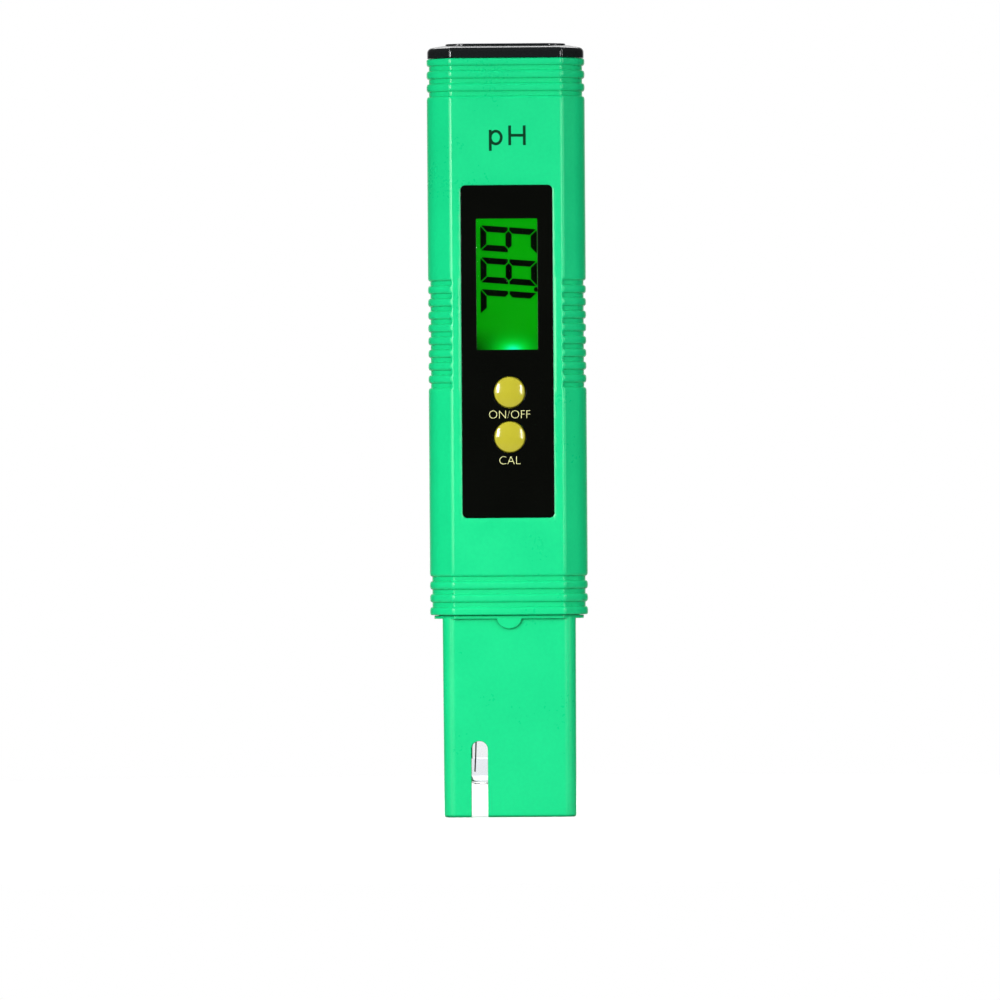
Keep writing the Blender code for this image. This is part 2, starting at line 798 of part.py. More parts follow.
def build_battery_cap():
    cap = prism("battery_cap", (sleeve_outline(CAP_INSET),), CAP_LOW, CAP_HIGH)
    round_rim(cap, CAP_HIGH, CAP_RADIUS, RIM_STEPS)
    boss = prism(
        "cap_boss", (stadium(BOSS_WIDTH / 2, BOSS_DEPTH / 2),), CAP_HIGH - CAP_RADIUS, BOSS_HIGH,
        is_tool=True,
    )
    round_rim(boss, BOSS_HIGH, BOSS_RADIUS, RIM_STEPS)
    plug = prism(
        "cap_plug", (sleeve_outline(PLUG_INSET), sleeve_outline(PLUG_INSET + PLUG_WALL)),
        PLUG_LOW, CAP_LOW + CAP_RADIUS, is_tool=True,
    )
    join(cap, boss, plug)
    return cap


def seal_ring(name, low, thickness):
    outlines = (sleeve_outline(SEAL_INSET), sleeve_outline(SEAL_INSET + thickness))
    return prism(name, outlines, low, low + SEAL_HEIGHT)


def build_tray():
    tray = box(
        "battery_tray", (-TRAY_HALF_WIDTH, TRAY_HALF_WIDTH), (-TRAY_HALF_DEPTH, TRAY_HALF_DEPTH),
        (TRAY_LOW, TRAY_HIGH),
    )
    for side, label in ((-1, "left"), (1, "right")):
        pocket = cylinder(
            f"{label}_pocket_cutter", CELL_RADIUS + FIT, -TRAY_HALF_DEPTH - WALL,
            TRAY_HALF_DEPTH + WALL, (side * CELL_X, CELL_Z), "Y", is_tool=True,
        )
        cut(tray, pocket)
    return tray


def build_cell(name, x):
    """A button cell: its can faces back, and the smaller lid faces forwards."""
    half = CELL_THICKNESS / 2
    lid = CELL_RADIUS - CELL_LID_INSET
    profile = [
        (0.0, half),
        (lid, half),
        (lid, half - CELL_CAN_LIP),
        (CELL_RADIUS - CELL_CAN_LIP, half - CELL_CAN_LIP),
        (CELL_RADIUS, half - 2 * CELL_CAN_LIP),
        (CELL_RADIUS, -half + CELL_CAN_LIP),
        (CELL_RADIUS - CELL_CAN_LIP, -half),
        (0.0, -half),
    ]
    place = Matrix.Translation((x, 0.0, CELL_Z)) @ Matrix.Rotation(math.radians(90), 4, "X")
    return turned(name, profile, place)


def build_link():
    """The strip across the front of the tray that joins the two cells."""
    back = -TRAY_HALF_DEPTH - BOARD_SEAT
    return box(
        "cell_link", (-LINK_HALF_WIDTH, LINK_HALF_WIDTH), (back - STRIP, back),
        (CELL_Z - LINK_HEIGHT / 2, CELL_Z + LINK_HEIGHT / 2),
    )


def build_contact(name, x):
    """A sprung strip: its foot lies on the board's back and its blade stands behind the cell."""
    foot = BOARD_BACK + BOARD_SEAT
    jog = CONTACT_FOOT_HIGH + STRIP
    outline = [
        (foot, CONTACT_FOOT_LOW),
        (foot + STRIP, CONTACT_FOOT_LOW),
        (foot + STRIP, CONTACT_FOOT_HIGH),
        (CONTACT_Y + STRIP, jog),
        (CONTACT_Y + STRIP, CONTACT_TIP),
        (CONTACT_Y, CONTACT_TIP),
        (CONTACT_Y, jog + STRIP),
        (foot, CONTACT_FOOT_HIGH + STRIP),
    ]
    half = CONTACT_WIDTH / 2
    return prism(name, (outline,), x - half, x + half, "X")


# ---------------------------------------------------------------- probe


def draw_in_lower_end(obj):
    """Gives a straight skirt-shaped solid its draft, by pulling its lower end in."""
    for vertex in obj.data.vertices:
        if vertex.co.z < COLLAR_LOW / 2:
            vertex.co.x -= math.copysign(SKIRT_DRAFT, vertex.co.x)
            vertex.co.y -= math.copysign(SKIRT_DRAFT, vertex.co.y)


def skirt_outline(inset):
    return rectangle(SKIRT_HALF_WIDTH - inset, SKIRT_HALF_DEPTH - inset, SKIRT_RADIUS - inset)


def half_disc_outline():
    """The tab on the collar: a disc cut off level just below the collar's upper face."""
    rise = math.degrees(math.asin((COLLAR_HIGH - CLOSE_FIT - TAB_Z) / TAB_RADIUS))
    return arc((0.0, TAB_Z), TAB_RADIUS, 180 - rise, 360 + rise, ROUND_STEPS // 2)


def slot_outline():
    """A slot that is open at the rim and ends in a half circle."""
    half = SLOT_WIDTH / 2
    top = arc((SLOT_X, SLOT_TOP - half), half, 0, 180, SMALL_STEPS)
    return top + [(SLOT_X - half, -WALL), (SLOT_X + half, -WALL)]


def build_skirt():
    step = COLLAR_LOW + CLOSE_FIT
    skirt = prism("probe_skirt", (skirt_outline(0.0),), 0.0, step)
    draw_in_lower_end(skirt)
    collar = prism("collar", (sleeve_outline(COLLAR_INSET),), COLLAR_LOW, COLLAR_HIGH, is_tool=True)
    plug = prism(
        "skirt_plug", (sleeve_outline(SKIRT_PLUG_INSET),), step, SKIRT_PLUG_HIGH, is_tool=True
    )
    tab = prism(
        "tab", (half_disc_outline(),), -HALF_DEPTH + COLLAR_INSET,
        -SKIRT_HALF_DEPTH + SKIRT_WALL / 2, "Y", is_tool=True,
    )
    join(skirt, collar, plug, tab)

    hollow = prism(
        "skirt_hollow", (skirt_outline(SKIRT_WALL),), -WALL, SKIRT_PLUG_HIGH + WALL, is_tool=True
    )
    draw_in_lower_end(hollow)
    slot = prism(
        "slot_cutter", (slot_outline(),), -SKIRT_HALF_DEPTH - WALL, SKIRT_HALF_DEPTH + WALL, "Y",
        is_tool=True,
    )
    groove_floor = sleeve_outline(SEAL_INSET + PROBE_SEAL_THICKNESS + CLOSE_FIT)
    groove_low = PROBE_SEAL_LOW - CLOSE_FIT
    groove = prism(
        "seal_groove_cutter", (rectangle(HALF_WIDTH, HALF_DEPTH), groove_floor), groove_low,
        groove_low + SEAL_HEIGHT + 2 * CLOSE_FIT, is_tool=True,
    )
    cut(skirt, hollow, slot, groove)
    return skirt


def build_holder():
    outline = rectangle(HOLDER_HALF_WIDTH, HOLDER_HALF_DEPTH, HOLDER_RADIUS)
    holder = prism("electrode_holder", (outline,), HOLDER_LOW, HOLDER_HIGH)
    bores = (
        ("glass_bore_cutter", BULB_X, BULB_RADIUS),
        ("reference_bore_cutter", REFERENCE_X, REFERENCE_RADIUS),
        ("sensor_bore_cutter", 0.0, SENSOR_RADIUS),
    )
    for name, x, radius in bores:
        bore = cylinder(
            name, radius + BORE_FIT, HOLDER_LOW - WALL, HOLDER_HIGH + WALL, (x, 0.0), is_tool=True
        )
        cut(holder, bore)
    return holder


def build_glass_electrode():
    """A glass tube, open at the top, with a closed round-cornered bulb at its lower end."""
    inner = BULB_RADIUS - BULB_WALL
    outer_corner = arc((BULB_RADIUS - BULB_CORNER, BULB_LOW + BULB_CORNER), BULB_CORNER, 0, -90, 4)
    inner_radius = BULB_CORNER - BULB_WALL
    inner_corner = arc((BULB_RADIUS - BULB_CORNER, BULB_LOW + BULB_CORNER), inner_radius, -90, 0, 3)
    profile = [(0.0, BULB_LOW + BULB_WALL), *inner_corner, (inner, TUBE_HIGH)]
    profile += [(BULB_RADIUS, TUBE_HIGH), *outer_corner, (0.0, BULB_LOW)]
    return turned("glass_electrode", profile, Matrix.Translation((BULB_X, 0.0, 0.0)))


def build_stopper(name, x, radius, wire_x):
    stopper = cylinder(name, radius, STOPPER_LOW, STOPPER_HIGH, (x, 0.0))
    hole = cylinder(
        name + "_hole_cutter", WIRE_HOLE_RADIUS, STOPPER_LOW - WALL, STOPPER_HIGH + WALL,
        (wire_x, 0.0), steps=SMALL_STEPS, is_tool=True,
    )
    cut(stopper, hole)
    return stopper


def build_reference():
    """The reference half-cell: a tube of gel with a porous plug in its lower end."""
    inner = REFERENCE_RADIUS - REFERENCE_WALL
    hole = JUNCTION_RADIUS + STOPPER_FIT
    floor = REFERENCE_LOW + REFERENCE_FLOOR
    profile = [
        (hole, REFERENCE_LOW),
        (hole, floor),
        (inner, floor),
        (inner, TUBE_HIGH),
        (REFERENCE_RADIUS, TUBE_HIGH),
        (REFERENCE_RADIUS, REFERENCE_LOW),
        (hole, REFERENCE_LOW),
    ]
    body = turned("reference_tube", profile, Matrix.Translation((REFERENCE_X, 0.0, 0.0)))
    junction = cylinder(
        "reference_junction", JUNCTION_RADIUS, REFERENCE_LOW, REFERENCE_LOW + JUNCTION_LENGTH,
        (REFERENCE_X, 0.0), steps=SMALL_STEPS,
    )
    wire = build_wire("reference_wire", REFERENCE_X, REFERENCE_WIRE_LOW)
    stopper = build_stopper("reference_stopper", REFERENCE_X, inner - STOPPER_FIT, REFERENCE_X)
    return body, junction, wire, stopper


def build_wire(name, x, low):
    return cylinder(name, WIRE_RADIUS, low, WIRE_HIGH, (x, 0.0), steps=WIRE_STEPS)


def build_sensor():
    """The steel sheath of the thermistor, with a rounded tip."""
    profile = [(0.0, SENSOR_HIGH), (SENSOR_RADIUS, SENSOR_HIGH)]
    profile += arc((0.0, SENSOR_LOW + SENSOR_RADIUS), SENSOR_RADIUS, 0, -90, 4)
    return turned("temperature_sensor", profile, Matrix.Identity(4), SMALL_STEPS)


def build_lead(name, x, end_x):
    """A lead from the top of an electrode, forwards past the board's lower edge, to its front."""
    points = []
    for i in range(LEAD_STEPS + 1):
        share = i / LEAD_STEPS
        ease = share * share * (3 - 2 * share)
        height = LEAD_LOW + (LEAD_END_Z - LEAD_STRAIGHT - LEAD_LOW) * share
        points.append((x + (end_x - x) * ease, LEAD_END_Y * ease, height))
    points.append((end_x, LEAD_END_Y, LEAD_END_Z))
    return tube(name, points, LEAD_RADIUS)


# ---------------------------------------------------------------- the whole pen


def build_pen():
    green = finish_material("green_abs", GREEN, 0.42)
    skirt_green = finish_material("skirt_green_abs", GREEN, 0.42)
    black_abs = finish_material("black_abs", BLACK, 0.25)
    panel_black = finish_material("panel_black", (0.006, 0.008, 0.004), 0.12)
    yellow = finish_material("yellow_keys", (0.62, 0.55, 0.03), 0.2)
    clear = finish_material("clear_acrylic", (0.9, 0.95, 0.92), 0.05, alpha=0.35)
    glass = finish_material("glass", (0.93, 0.96, 0.96), 0.03, alpha=0.35)
    lit_green = finish_material("light_guide", (0.01, 0.36, 0.02), 0.4)
    white = finish_material("white_abs", (0.78, 0.78, 0.75), 0.5)
    board_green = finish_material("board_laminate", (0.01, 0.12, 0.05), 0.45)
    epoxy = finish_material("chip_epoxy", (0.015, 0.015, 0.017), 0.55)
    ceramic = finish_material("ceramic", (0.62, 0.5, 0.36), 0.7)
    rubber = finish_material("rubber", (0.03, 0.03, 0.03), 0.75)
    steel = finish_material("steel", (0.6, 0.6, 0.58), 0.3, metallic=1.0)
    silver = finish_material("silver", (0.35, 0.33, 0.3), 0.4, metallic=1.0)
    lead_jacket = finish_material("lead_jacket", (0.55, 0.05, 0.04), 0.5)

    paint(green, build_sleeve())
    paint(panel_black, build_panel())
    paint(clear, build_window())
    for prefix, z in (("power", POWER_Z), ("cal", CAL_Z)):
        keycap, switch, plunger = build_button(prefix, z)
        paint(yellow, keycap)
        paint(epoxy, switch)
        paint(white, plunger)

    front_glass, rear_glass, zebra, guide, led = build_display()
    paint(glass, front_glass, rear_glass)
    paint(rubber, zebra)
    paint(lit_green, guide)
    paint(white, led, build_lcd_frame(), build_carrier())
    paint(board_green, build_board())
    paint(steel, *build_screws())
    meter_chip, amplifier, crystal, capacitors = build_components()
    paint(epoxy, meter_chip, amplifier)
    paint(steel, crystal)
    paint(ceramic, *capacitors)

    cap = build_battery_cap()
    seal = seal_ring("cap_seal", CAP_SEAL_LOW, CAP_SEAL_THICKNESS)
    tray = build_tray()
    cells = [build_cell("button_cell_left", -CELL_X), build_cell("button_cell_right", CELL_X)]
    link = build_link()
    paint(black_abs, cap, tray)
    paint(rubber, seal)
    paint(steel, *cells, link)
    paint(steel, build_contact("battery_contact_left", -CELL_X))
    paint(steel, build_contact("battery_contact_right", CELL_X))
    hang_from("drawer_slide", (0.0, 0.0, CAP_LOW), cap, seal, tray, *cells, link)

    paint(skirt_green, build_skirt())
    paint(rubber, seal_ring("probe_seal", PROBE_SEAL_LOW, PROBE_SEAL_THICKNESS))
    paint(white, build_holder())
    paint(glass, build_glass_electrode())
    tube_stopper = build_stopper(
        "tube_stopper", BULB_X, BULB_RADIUS - BULB_WALL - STOPPER_FIT, WIRE_X
    )
    paint(rubber, tube_stopper)
    paint(silver, build_wire("electrode_wire", WIRE_X, WIRE_LOW))
    body, junction, wire, stopper = build_reference()
    paint(white, body)
    paint(ceramic, junction)
    paint(silver, wire)
    paint(rubber, stopper)
    paint(steel, build_sensor())
    paint(lead_jacket, build_lead("electrode_lead", WIRE_X, -LEAD_END_X))
    paint(lead_jacket, build_lead("reference_lead", REFERENCE_X, LEAD_END_X))
    paint(lead_jacket, build_lead("sensor_lead", 0.0, 0.0))


build_pen()
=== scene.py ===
"""The looks of a pocket pH meter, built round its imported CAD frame, in metres.

+Z runs up the pen and its display faces -Y. Each detailed piece stands for one CAD node and rides
on that node's body; the parts inside keep their CAD shapes and get finished materials.
"""

import json
import math

import bmesh
import bpy
import numpy as np
from mathutils import Matrix, Vector

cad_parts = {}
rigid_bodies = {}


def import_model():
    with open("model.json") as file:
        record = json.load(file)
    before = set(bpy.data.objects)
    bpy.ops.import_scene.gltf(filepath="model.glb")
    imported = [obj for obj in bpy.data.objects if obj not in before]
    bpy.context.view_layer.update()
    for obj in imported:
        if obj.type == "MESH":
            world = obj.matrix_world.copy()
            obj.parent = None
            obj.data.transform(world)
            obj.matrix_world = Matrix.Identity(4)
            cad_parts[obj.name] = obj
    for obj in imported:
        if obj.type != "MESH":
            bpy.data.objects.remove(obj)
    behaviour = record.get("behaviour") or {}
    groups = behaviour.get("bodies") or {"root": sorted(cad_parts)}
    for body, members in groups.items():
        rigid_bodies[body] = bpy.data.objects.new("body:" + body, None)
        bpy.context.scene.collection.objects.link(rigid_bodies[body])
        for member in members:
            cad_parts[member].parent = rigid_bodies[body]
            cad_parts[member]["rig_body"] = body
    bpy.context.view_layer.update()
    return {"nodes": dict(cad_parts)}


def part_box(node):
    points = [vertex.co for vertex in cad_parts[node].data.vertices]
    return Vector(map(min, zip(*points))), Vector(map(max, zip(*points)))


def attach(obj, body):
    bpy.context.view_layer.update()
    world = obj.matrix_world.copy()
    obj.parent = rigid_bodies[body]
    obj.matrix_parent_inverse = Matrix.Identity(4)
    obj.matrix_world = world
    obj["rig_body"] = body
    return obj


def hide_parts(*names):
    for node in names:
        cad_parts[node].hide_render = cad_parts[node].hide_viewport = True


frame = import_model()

MM = 0.001
AXIS_RADIUS = 0.02 * MM  # how near a turned profile comes to its axis

# The sleeve's section
HALF_WIDTH = 15.06 * MM
HALF_DEPTH = 7.0 * MM
FLAT_HALF = 10.7 * MM
SIDE_HALF = 2.9 * MM
CREASE_RADIUS = 1.3 * MM
SIDE_RADIUS = 6.4 * MM
SMALLEST_RADIUS = 0.04 * MM
CREASE_STEPS = 10
SECTION_SPACING = 0.62 * MM  # between points on the straight sides

# Grooves in the sleeve
RING_PITCH = 2.46 * MM
GRIP_PITCH = 2.4325 * MM
GROOVE_HEIGHT = 0.9 * MM
GROOVE_DEPTH = 0.45 * MM
SHOULDER_REACH = 0.6 * MM  # how far a ridge's rounded shoulder runs from the groove's edge
SHOULDER_DROP = 0.38 * MM
FLOOR_FILLET = 0.08 * MM
END_GROOVES = 3
GRIP_GROOVES = 9
GRIP_START = 10.8 * MM
GRIP_CORNER = 0.22 * MM
SLEEVE_ROWS = 44  # evenly spaced ones, besides those at the grooves
CLOSEST_ROWS = 0.008 * MM

# Housing
SLEEVE_WALL = 1.18 * MM
RIM_RADIUS = 0.32 * MM
RECESS_FIT = 0.06 * MM
LIP_WIDTH = 0.26 * MM  # of the shallow bevel round the panel's recess
LIP_DEPTH = 0.1 * MM
RECESS_DEPTH = 0.4 * MM
GAP = 0.15 * MM
HOLE_FIT = 0.06 * MM

# Meshing
EDGE_STEPS = 5
BOX_SPACING = 5 * MM
TOOL_REACH = 2 * MM  # how far outside a surface its cutter starts
SMOOTH_ANGLE = 35


# ---- meshes


def new_object(name, data):
    obj = bpy.data.objects.new(name, data)
    bpy.context.scene.collection.objects.link(obj)
    return obj


def face_outwards(mesh):
    bm = bmesh.new()
    bm.from_mesh(mesh)
    bmesh.ops.recalc_face_normals(bm, faces=bm.faces)
    bm.to_mesh(mesh)
    bm.free()


def smooth(obj, degrees=SMOOTH_ANGLE):
    """Shades smoothly, keeps corners sharper than an angle, and lets large flat faces stay flat."""
    obj.data.shade_smooth()
    obj.data.set_sharp_from_angle(angle=math.radians(degrees))
    weighted = obj.modifiers.new("normals", "WEIGHTED_NORMAL")
    weighted.keep_sharp = True
    freeze(obj)
    return obj


def evaluated_mesh(obj):
    depsgraph = bpy.context.evaluated_depsgraph_get()
    return bpy.data.meshes.new_from_object(obj.evaluated_get(depsgraph))


def freeze(obj):
    """Puts the result of an object's modifiers into its own mesh."""
    mesh = evaluated_mesh(obj)
    obj.modifiers.clear()
    obj.data = mesh


def combine(obj, operation, tools):
    for tool in tools:
        modifier = obj.modifiers.new(tool.name, "BOOLEAN")
        modifier.operation = operation
        modifier.solver = "EXACT"
        modifier.object = tool
    freeze(obj)
    for tool in tools:
        bpy.data.objects.remove(tool, do_unlink=True)
    return obj


def cut(obj, *tools):
    return combine(obj, "DIFFERENCE", tools)


def join(obj, *tools):
    return combine(obj, "UNION", tools)


def skin(name, rings, loop=False):
    """A closed mesh through rings of equally many points.

    Its ends are flat faces, or with loop its last ring joins its first.
    """
    count = len(rings[0])
    faces = []
    for row in range(len(rings) if loop else len(rings) - 1):
        here = row * count
        there = (row + 1) % len(rings) * count
        for i in range(count):
            j = (i + 1) % count
            faces.append((here + i, here + j, there + j, there + i))
    if not loop:
        last = (len(rings) - 1) * count
        faces.append(tuple(range(count)))
        faces.append(tuple(range(last, last + count)))
    mesh = bpy.data.meshes.new(name)
    mesh.from_pydata(np.concatenate(rings).tolist(), [], faces)
    face_outwards(mesh)
    return new_object(name, mesh)


def corner_turn(corners, i):
    """The direction into a corner, half the angle it turns by, and the way to its inside."""
    here = Vector(corners[i])
    before = (here - Vector(corners[i - 1])).normalized()
    after = (Vector(corners[(i + 1) % len(corners)]) - here).normalized()
    return before, before.angle(after) / 2, (after - before).normalized()


def inset_corners(corners, inset):
    moved = []
    for i, corner in enumerate(corners):
        _, half_turn, inward = corner_turn(corners, i)
        moved.append(Vector(corner) + inward * inset / math.cos(half_turn))
    return moved


def outline(corners, radii, steps, spacing):
    """A function of inset that gives the points and outward normals round a rounded outline.

    Corners run counter-clockwise. Every inset gives the same number of points.
    """
    count = len(corners)
    sides = [(Vector(corners[(i + 1) % count]) - Vector(corners[i])).length for i in range(count)]
    divisions = [max(1, round(side / spacing)) for side in sides]

    def at(inset=0.0):
        moved = inset_corners(corners, inset)
        arcs = []
        for i, here in enumerate(moved):
            before, half_turn, inward = corner_turn(moved, i)
            radius = max(radii[i] - inset, SMALLEST_RADIUS)
            center = here + inward * radius / math.cos(half_turn)
            start = math.atan2(before.y, before.x) - math.pi / 2
            angles = start + 2 * half_turn * np.linspace(0, 1, steps + 1)
            normals = np.column_stack((np.cos(angles), np.sin(angles)))
            arcs.append((np.array(center) + normals * radius, normals))
        points, normals = [], []
        for i, (arc_points, arc_normals) in enumerate(arcs):
            next_point = arcs[(i + 1) % count][0][0]
            share = np.arange(1, divisions[i])[:, None] / divisions[i]
            points += [arc_points, arc_points[-1] + (next_point - arc_points[-1]) * share]
            normals += [arc_normals, np.repeat(arc_normals[-1:], divisions[i] - 1, axis=0)]
        return np.concatenate(points), np.concatenate(normals)

    return at


def box_outline(low, high, radius, steps=6):
    corners = [(low[0], low[1]), (high[0], low[1]), (high[0], high[1]), (low[0], high[1])]
    return outline(corners, [radius] * 4, steps, BOX_SPACING)


def round_outline(center, radius, steps=64):
    """A circle as an outline."""
    angles = np.linspace(0, math.tau, steps, endpoint=False)
    normals = np.column_stack((np.cos(angles), np.sin(angles)))

    def at(inset=0.0):
        return np.array(center) + normals * (radius - inset), normals

    return at


def stadium_outline(half_width, radius, steps=24):
    """A long outline with a half circle at each end."""
    right = np.radians(np.linspace(-90, 90, steps + 1))
    angles = np.concatenate((right, right + math.pi))
    normals = np.column_stack((np.cos(angles), np.sin(angles)))
    ends = np.repeat(((1.0, 0.0), (-1.0, 0.0)), steps + 1, axis=0) * (half_width - radius)

    def at(inset=0.0):
        return ends + normals * (radius - inset), normals

    return at


def lifted(flat, place, axis="Z"):
    """Flat points set at a place along Z or Y."""
    along = np.full(len(flat), place)
    columns = (flat[:, 0], flat[:, 1], along) if axis == "Z" else (flat[:, 0], along, flat[:, 1])
    return np.column_stack(columns)


def stack(name, shape, levels, axis="Z", loop=False):
    """A solid through one outline at several levels; each level is (place along axis, inset)."""
    return skin(name, [lifted(shape(inset)[0], place, axis) for place, inset in levels], loop)


def opening_edge(place, inset, radius, way=1, steps=EDGE_STEPS):
    """Levels of a rounded edge where a solid starts, at place; way is the direction it runs in."""
    levels = []
    for i in range(steps + 1):
        angle = math.pi / 2 * i / steps
        depth, shrink = 1 - math.cos(angle), 1 - math.sin(angle)
        levels.append((place + way * radius * depth, inset + radius * shrink))
    return levels


def closing_edge(place, inset, radius):
    """Levels of a rounded edge where a solid ends, at place."""
    return opening_edge(place, inset, radius, way=-1)[::-1]


def plate(name, shape, front, back, radius):
    """A plate along Y with rounded edges."""
    levels = opening_edge(front, 0.0, radius) + closing_edge(back, 0.0, radius)
    return stack(name, shape, levels, "Y")


def flared_tool(name, shape, surface, end, radius):
    """A cutter along Y from outside a front surface to end, which leaves a rounded lip."""
    way = math.copysign(1.0, end - surface)
    levels = [(surface - way * TOOL_REACH, -radius)]
    for i in range(EDGE_STEPS + 1):
        depth = radius * (1 - math.cos(math.pi / 2 * i / EDGE_STEPS))
        reach = math.sqrt(radius**2 - (radius - depth) ** 2)
        levels.append((surface + way * depth, reach - radius))
    levels.append((end, 0.0))
    return stack(name, shape, levels, "Y")


def turned(name, profile, center, axis="Z", steps=96):
    """A turned solid from a profile of (radius, place along axis)."""
    angles = np.linspace(0, math.tau, steps, endpoint=False)
    circle = np.column_stack((np.cos(angles), np.sin(angles)))
    rings = [lifted(np.array(center) + radius * circle, place, axis) for radius, place in profile]
    return skin(name, rings)


def arc(center, radius, start, end, steps):
    """Points along an arc; angles in degrees, counter-clockwise."""
    angles = np.radians(np.linspace(start, end, steps + 1))
    return [(center[0] + radius * math.cos(a), center[1] + radius * math.sin(a)) for a in angles]


def raised_shapes(name, polygons, back, front):
    """Flat shapes in (x, z), thick from back to front along Y."""
    bm = bmesh.new()
    for polygon in polygons:
        corners = [bm.verts.new((x, back, z)) for x, z in polygon]
        face = bm.faces.new(corners)
        grown = bmesh.ops.extrude_face_region(bm, geom=[face])
        tops = [item for item in grown["geom"] if isinstance(item, bmesh.types.BMVert)]
        bmesh.ops.translate(bm, vec=(0.0, front - back, 0.0), verts=tops)
    bmesh.ops.recalc_face_normals(bm, faces=bm.faces)
    mesh = bpy.data.meshes.new(name)
    bm.to_mesh(mesh)
    bm.free()
    return new_object(name, mesh)


def tube(name, points, radius):
    """A round wire along a route."""
    curve = bpy.data.curves.new(name, "CURVE")
    curve.dimensions = "3D"
    curve.bevel_depth = radius
    curve.bevel_resolution = 6
    curve.use_fill_caps = True
    spline = curve.splines.new("POLY")
    spline.points.add(len(points) - 1)
    for target, point in zip(spline.points, points):
        target.co = (*point, 1.0)
    return new_object(name, curve)


def front_center(node):
    """The middle of a CAD node in (x, z)."""
    low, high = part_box(node)
    return (low.x + high.x) / 2, (low.z + high.z) / 2


def stand_in(piece, node):
    """Lets a piece stand for a CAD node, on the node's body."""
    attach(piece, frame["nodes"][node]["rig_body"])
    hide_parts(node)
    return piece


# ---- materials


GRAIN_TURN = (0.24, 0.16, 0.43)  # keeps the grain's own lattice off every flat face
DRIFT_SIZE = 12 * MM
GRAIN_SHARE = 0.35  # of the grain in a surface's tint; the rest is its slow drift
# how far the painted shade in grooves and corners looks for nearby walls
PAINTED_SHADE_REACH = 0.8 * MM


def new_material(name):
    material = bpy.data.materials.new(name)
    material.use_nodes = True
    tree = material.node_tree
    return material, tree, tree.nodes["Principled BSDF"]


def fill(tree, socket, value):
    """Links a socket to another node's output, or sets its own value."""
    if isinstance(value, bpy.types.NodeSocket):
        tree.links.new(value, socket)
    else:
        socket.default_value = value


def feed(tree, node, **inputs):
    """Fills a node's inputs; an underscore in a key stands for a space."""
    for key, value in inputs.items():
        fill(tree, node.inputs[key.replace("_", " ")], value)


def new_node(tree, kind, **inputs):
    node = tree.nodes.new(kind)
    feed(tree, node, **inputs)
    return node


def coordinates(tree, stretch=(1.0, 1.0, 1.0), turn=(0.0, 0.0, 0.0)):
    source = tree.nodes.new("ShaderNodeTexCoord").outputs["Object"]
    mapping = new_node(tree, "ShaderNodeMapping", Vector=source, Scale=stretch, Rotation=turn)
    return mapping.outputs["Vector"]


def noise(tree, vector, size, detail=2.0):
    """Noise whose features are about size metres across."""
    node = new_node(tree, "ShaderNodeTexNoise", Vector=vector, Scale=1.0 / size, Detail=detail)
    return node.outputs["Fac"]


def between(tree, value, low, high, out_low, out_high):
    """Maps a value's range to another, held at its ends."""
    node = new_node(tree, "ShaderNodeMapRange", Value=value, From_Min=low, From_Max=high,
                    To_Min=out_low, To_Max=out_high)
    return node.outputs["Result"]


def noise_range(tree, value, low, high):
    """Noise, whose values lie mostly from 0.3 to 0.7, mapped to a range."""
    return between(tree, value, 0.3, 0.7, low, high)


def blend(tree, factor, first, second):
    node = tree.nodes.new("ShaderNodeMix")
    node.data_type = "RGBA"
    tree.links.new(factor, node.inputs["Factor"])
    for key, color in (("A", first), ("B", second)):
        socket = next(s for s in node.inputs if s.name == key and s.type == "RGBA")
        fill(tree, socket, color if isinstance(color, bpy.types.NodeSocket) else (*color, 1.0))
    return next(s for s in node.outputs if s.type == "RGBA")


def calc(tree, operation, first, second):
    node = tree.nodes.new("ShaderNodeMath")
    node.operation = operation
    fill(tree, node.inputs[0], first)
    fill(tree, node.inputs[1], second)
    return node.outputs["Value"]


def bump(tree, height, distance):
    return new_node(tree, "ShaderNodeBump", Height=height, Distance=distance).outputs["Normal"]


def scaled(color, factor):
    return tuple(min(1.0, channel * factor) for channel in color)


def openness(tree):
    """One on open faces, falling towards zero in corners and grooves, for the painted shade that
    surface puts there.
    """
    node = new_node(tree, "ShaderNodeAmbientOcclusion", Distance=PAINTED_SHADE_REACH)
    node.samples = 2
    return node.outputs["AO"]


def surface(name, color, roughness, grain=0.2 * MM, relief=0.004 * MM, vary=0.04,
            stretch=(1.0, 1.0, 1.0), shade=0.0, **sockets):
    """A moulded, turned or printed surface: a fine grain, and slow drift in colour and gloss. Shade
    darkens its colour in grooves and corners: painted shade.
    """
    material, tree, shader = new_material(name)
    vector = coordinates(tree, stretch, GRAIN_TURN)
    fine = noise(tree, vector, grain, 1.0)
    broad = noise(tree, vector, DRIFT_SIZE, 3.0)
    tint = calc(tree, "ADD", calc(tree, "MULTIPLY", fine, GRAIN_SHARE),
                     calc(tree, "MULTIPLY", broad, 1 - GRAIN_SHARE))
    share = noise_range(tree, tint, 0.0, 1.0)
    mixed = blend(tree, share, scaled(color, 1 - vary), scaled(color, 1 + vary))
    # painted shade: the colour is darkened by up to shade in grooves and corners, where walls stand
    # near
    if shade:
        painted_shade_mask = between(tree, openness(tree), 0.5, 0.95, 0.0, 1.0)
        mixed = blend(tree, painted_shade_mask, scaled(color, 1 - shade), mixed)
    gloss = noise_range(tree, tint, roughness * 0.88, roughness * 1.12)
    normal = bump(tree, fine, relief)
    feed(tree, shader, Base_Color=mixed, Roughness=gloss, Normal=normal, **sockets)
    return material


def metal(name, color, roughness, stretch=(1.0, 1.0, 1.0)):
    return surface(name, color, roughness, grain=0.12 * MM, relief=0.002 * MM, vary=0.08,
                   stretch=stretch, Metallic=1.0)


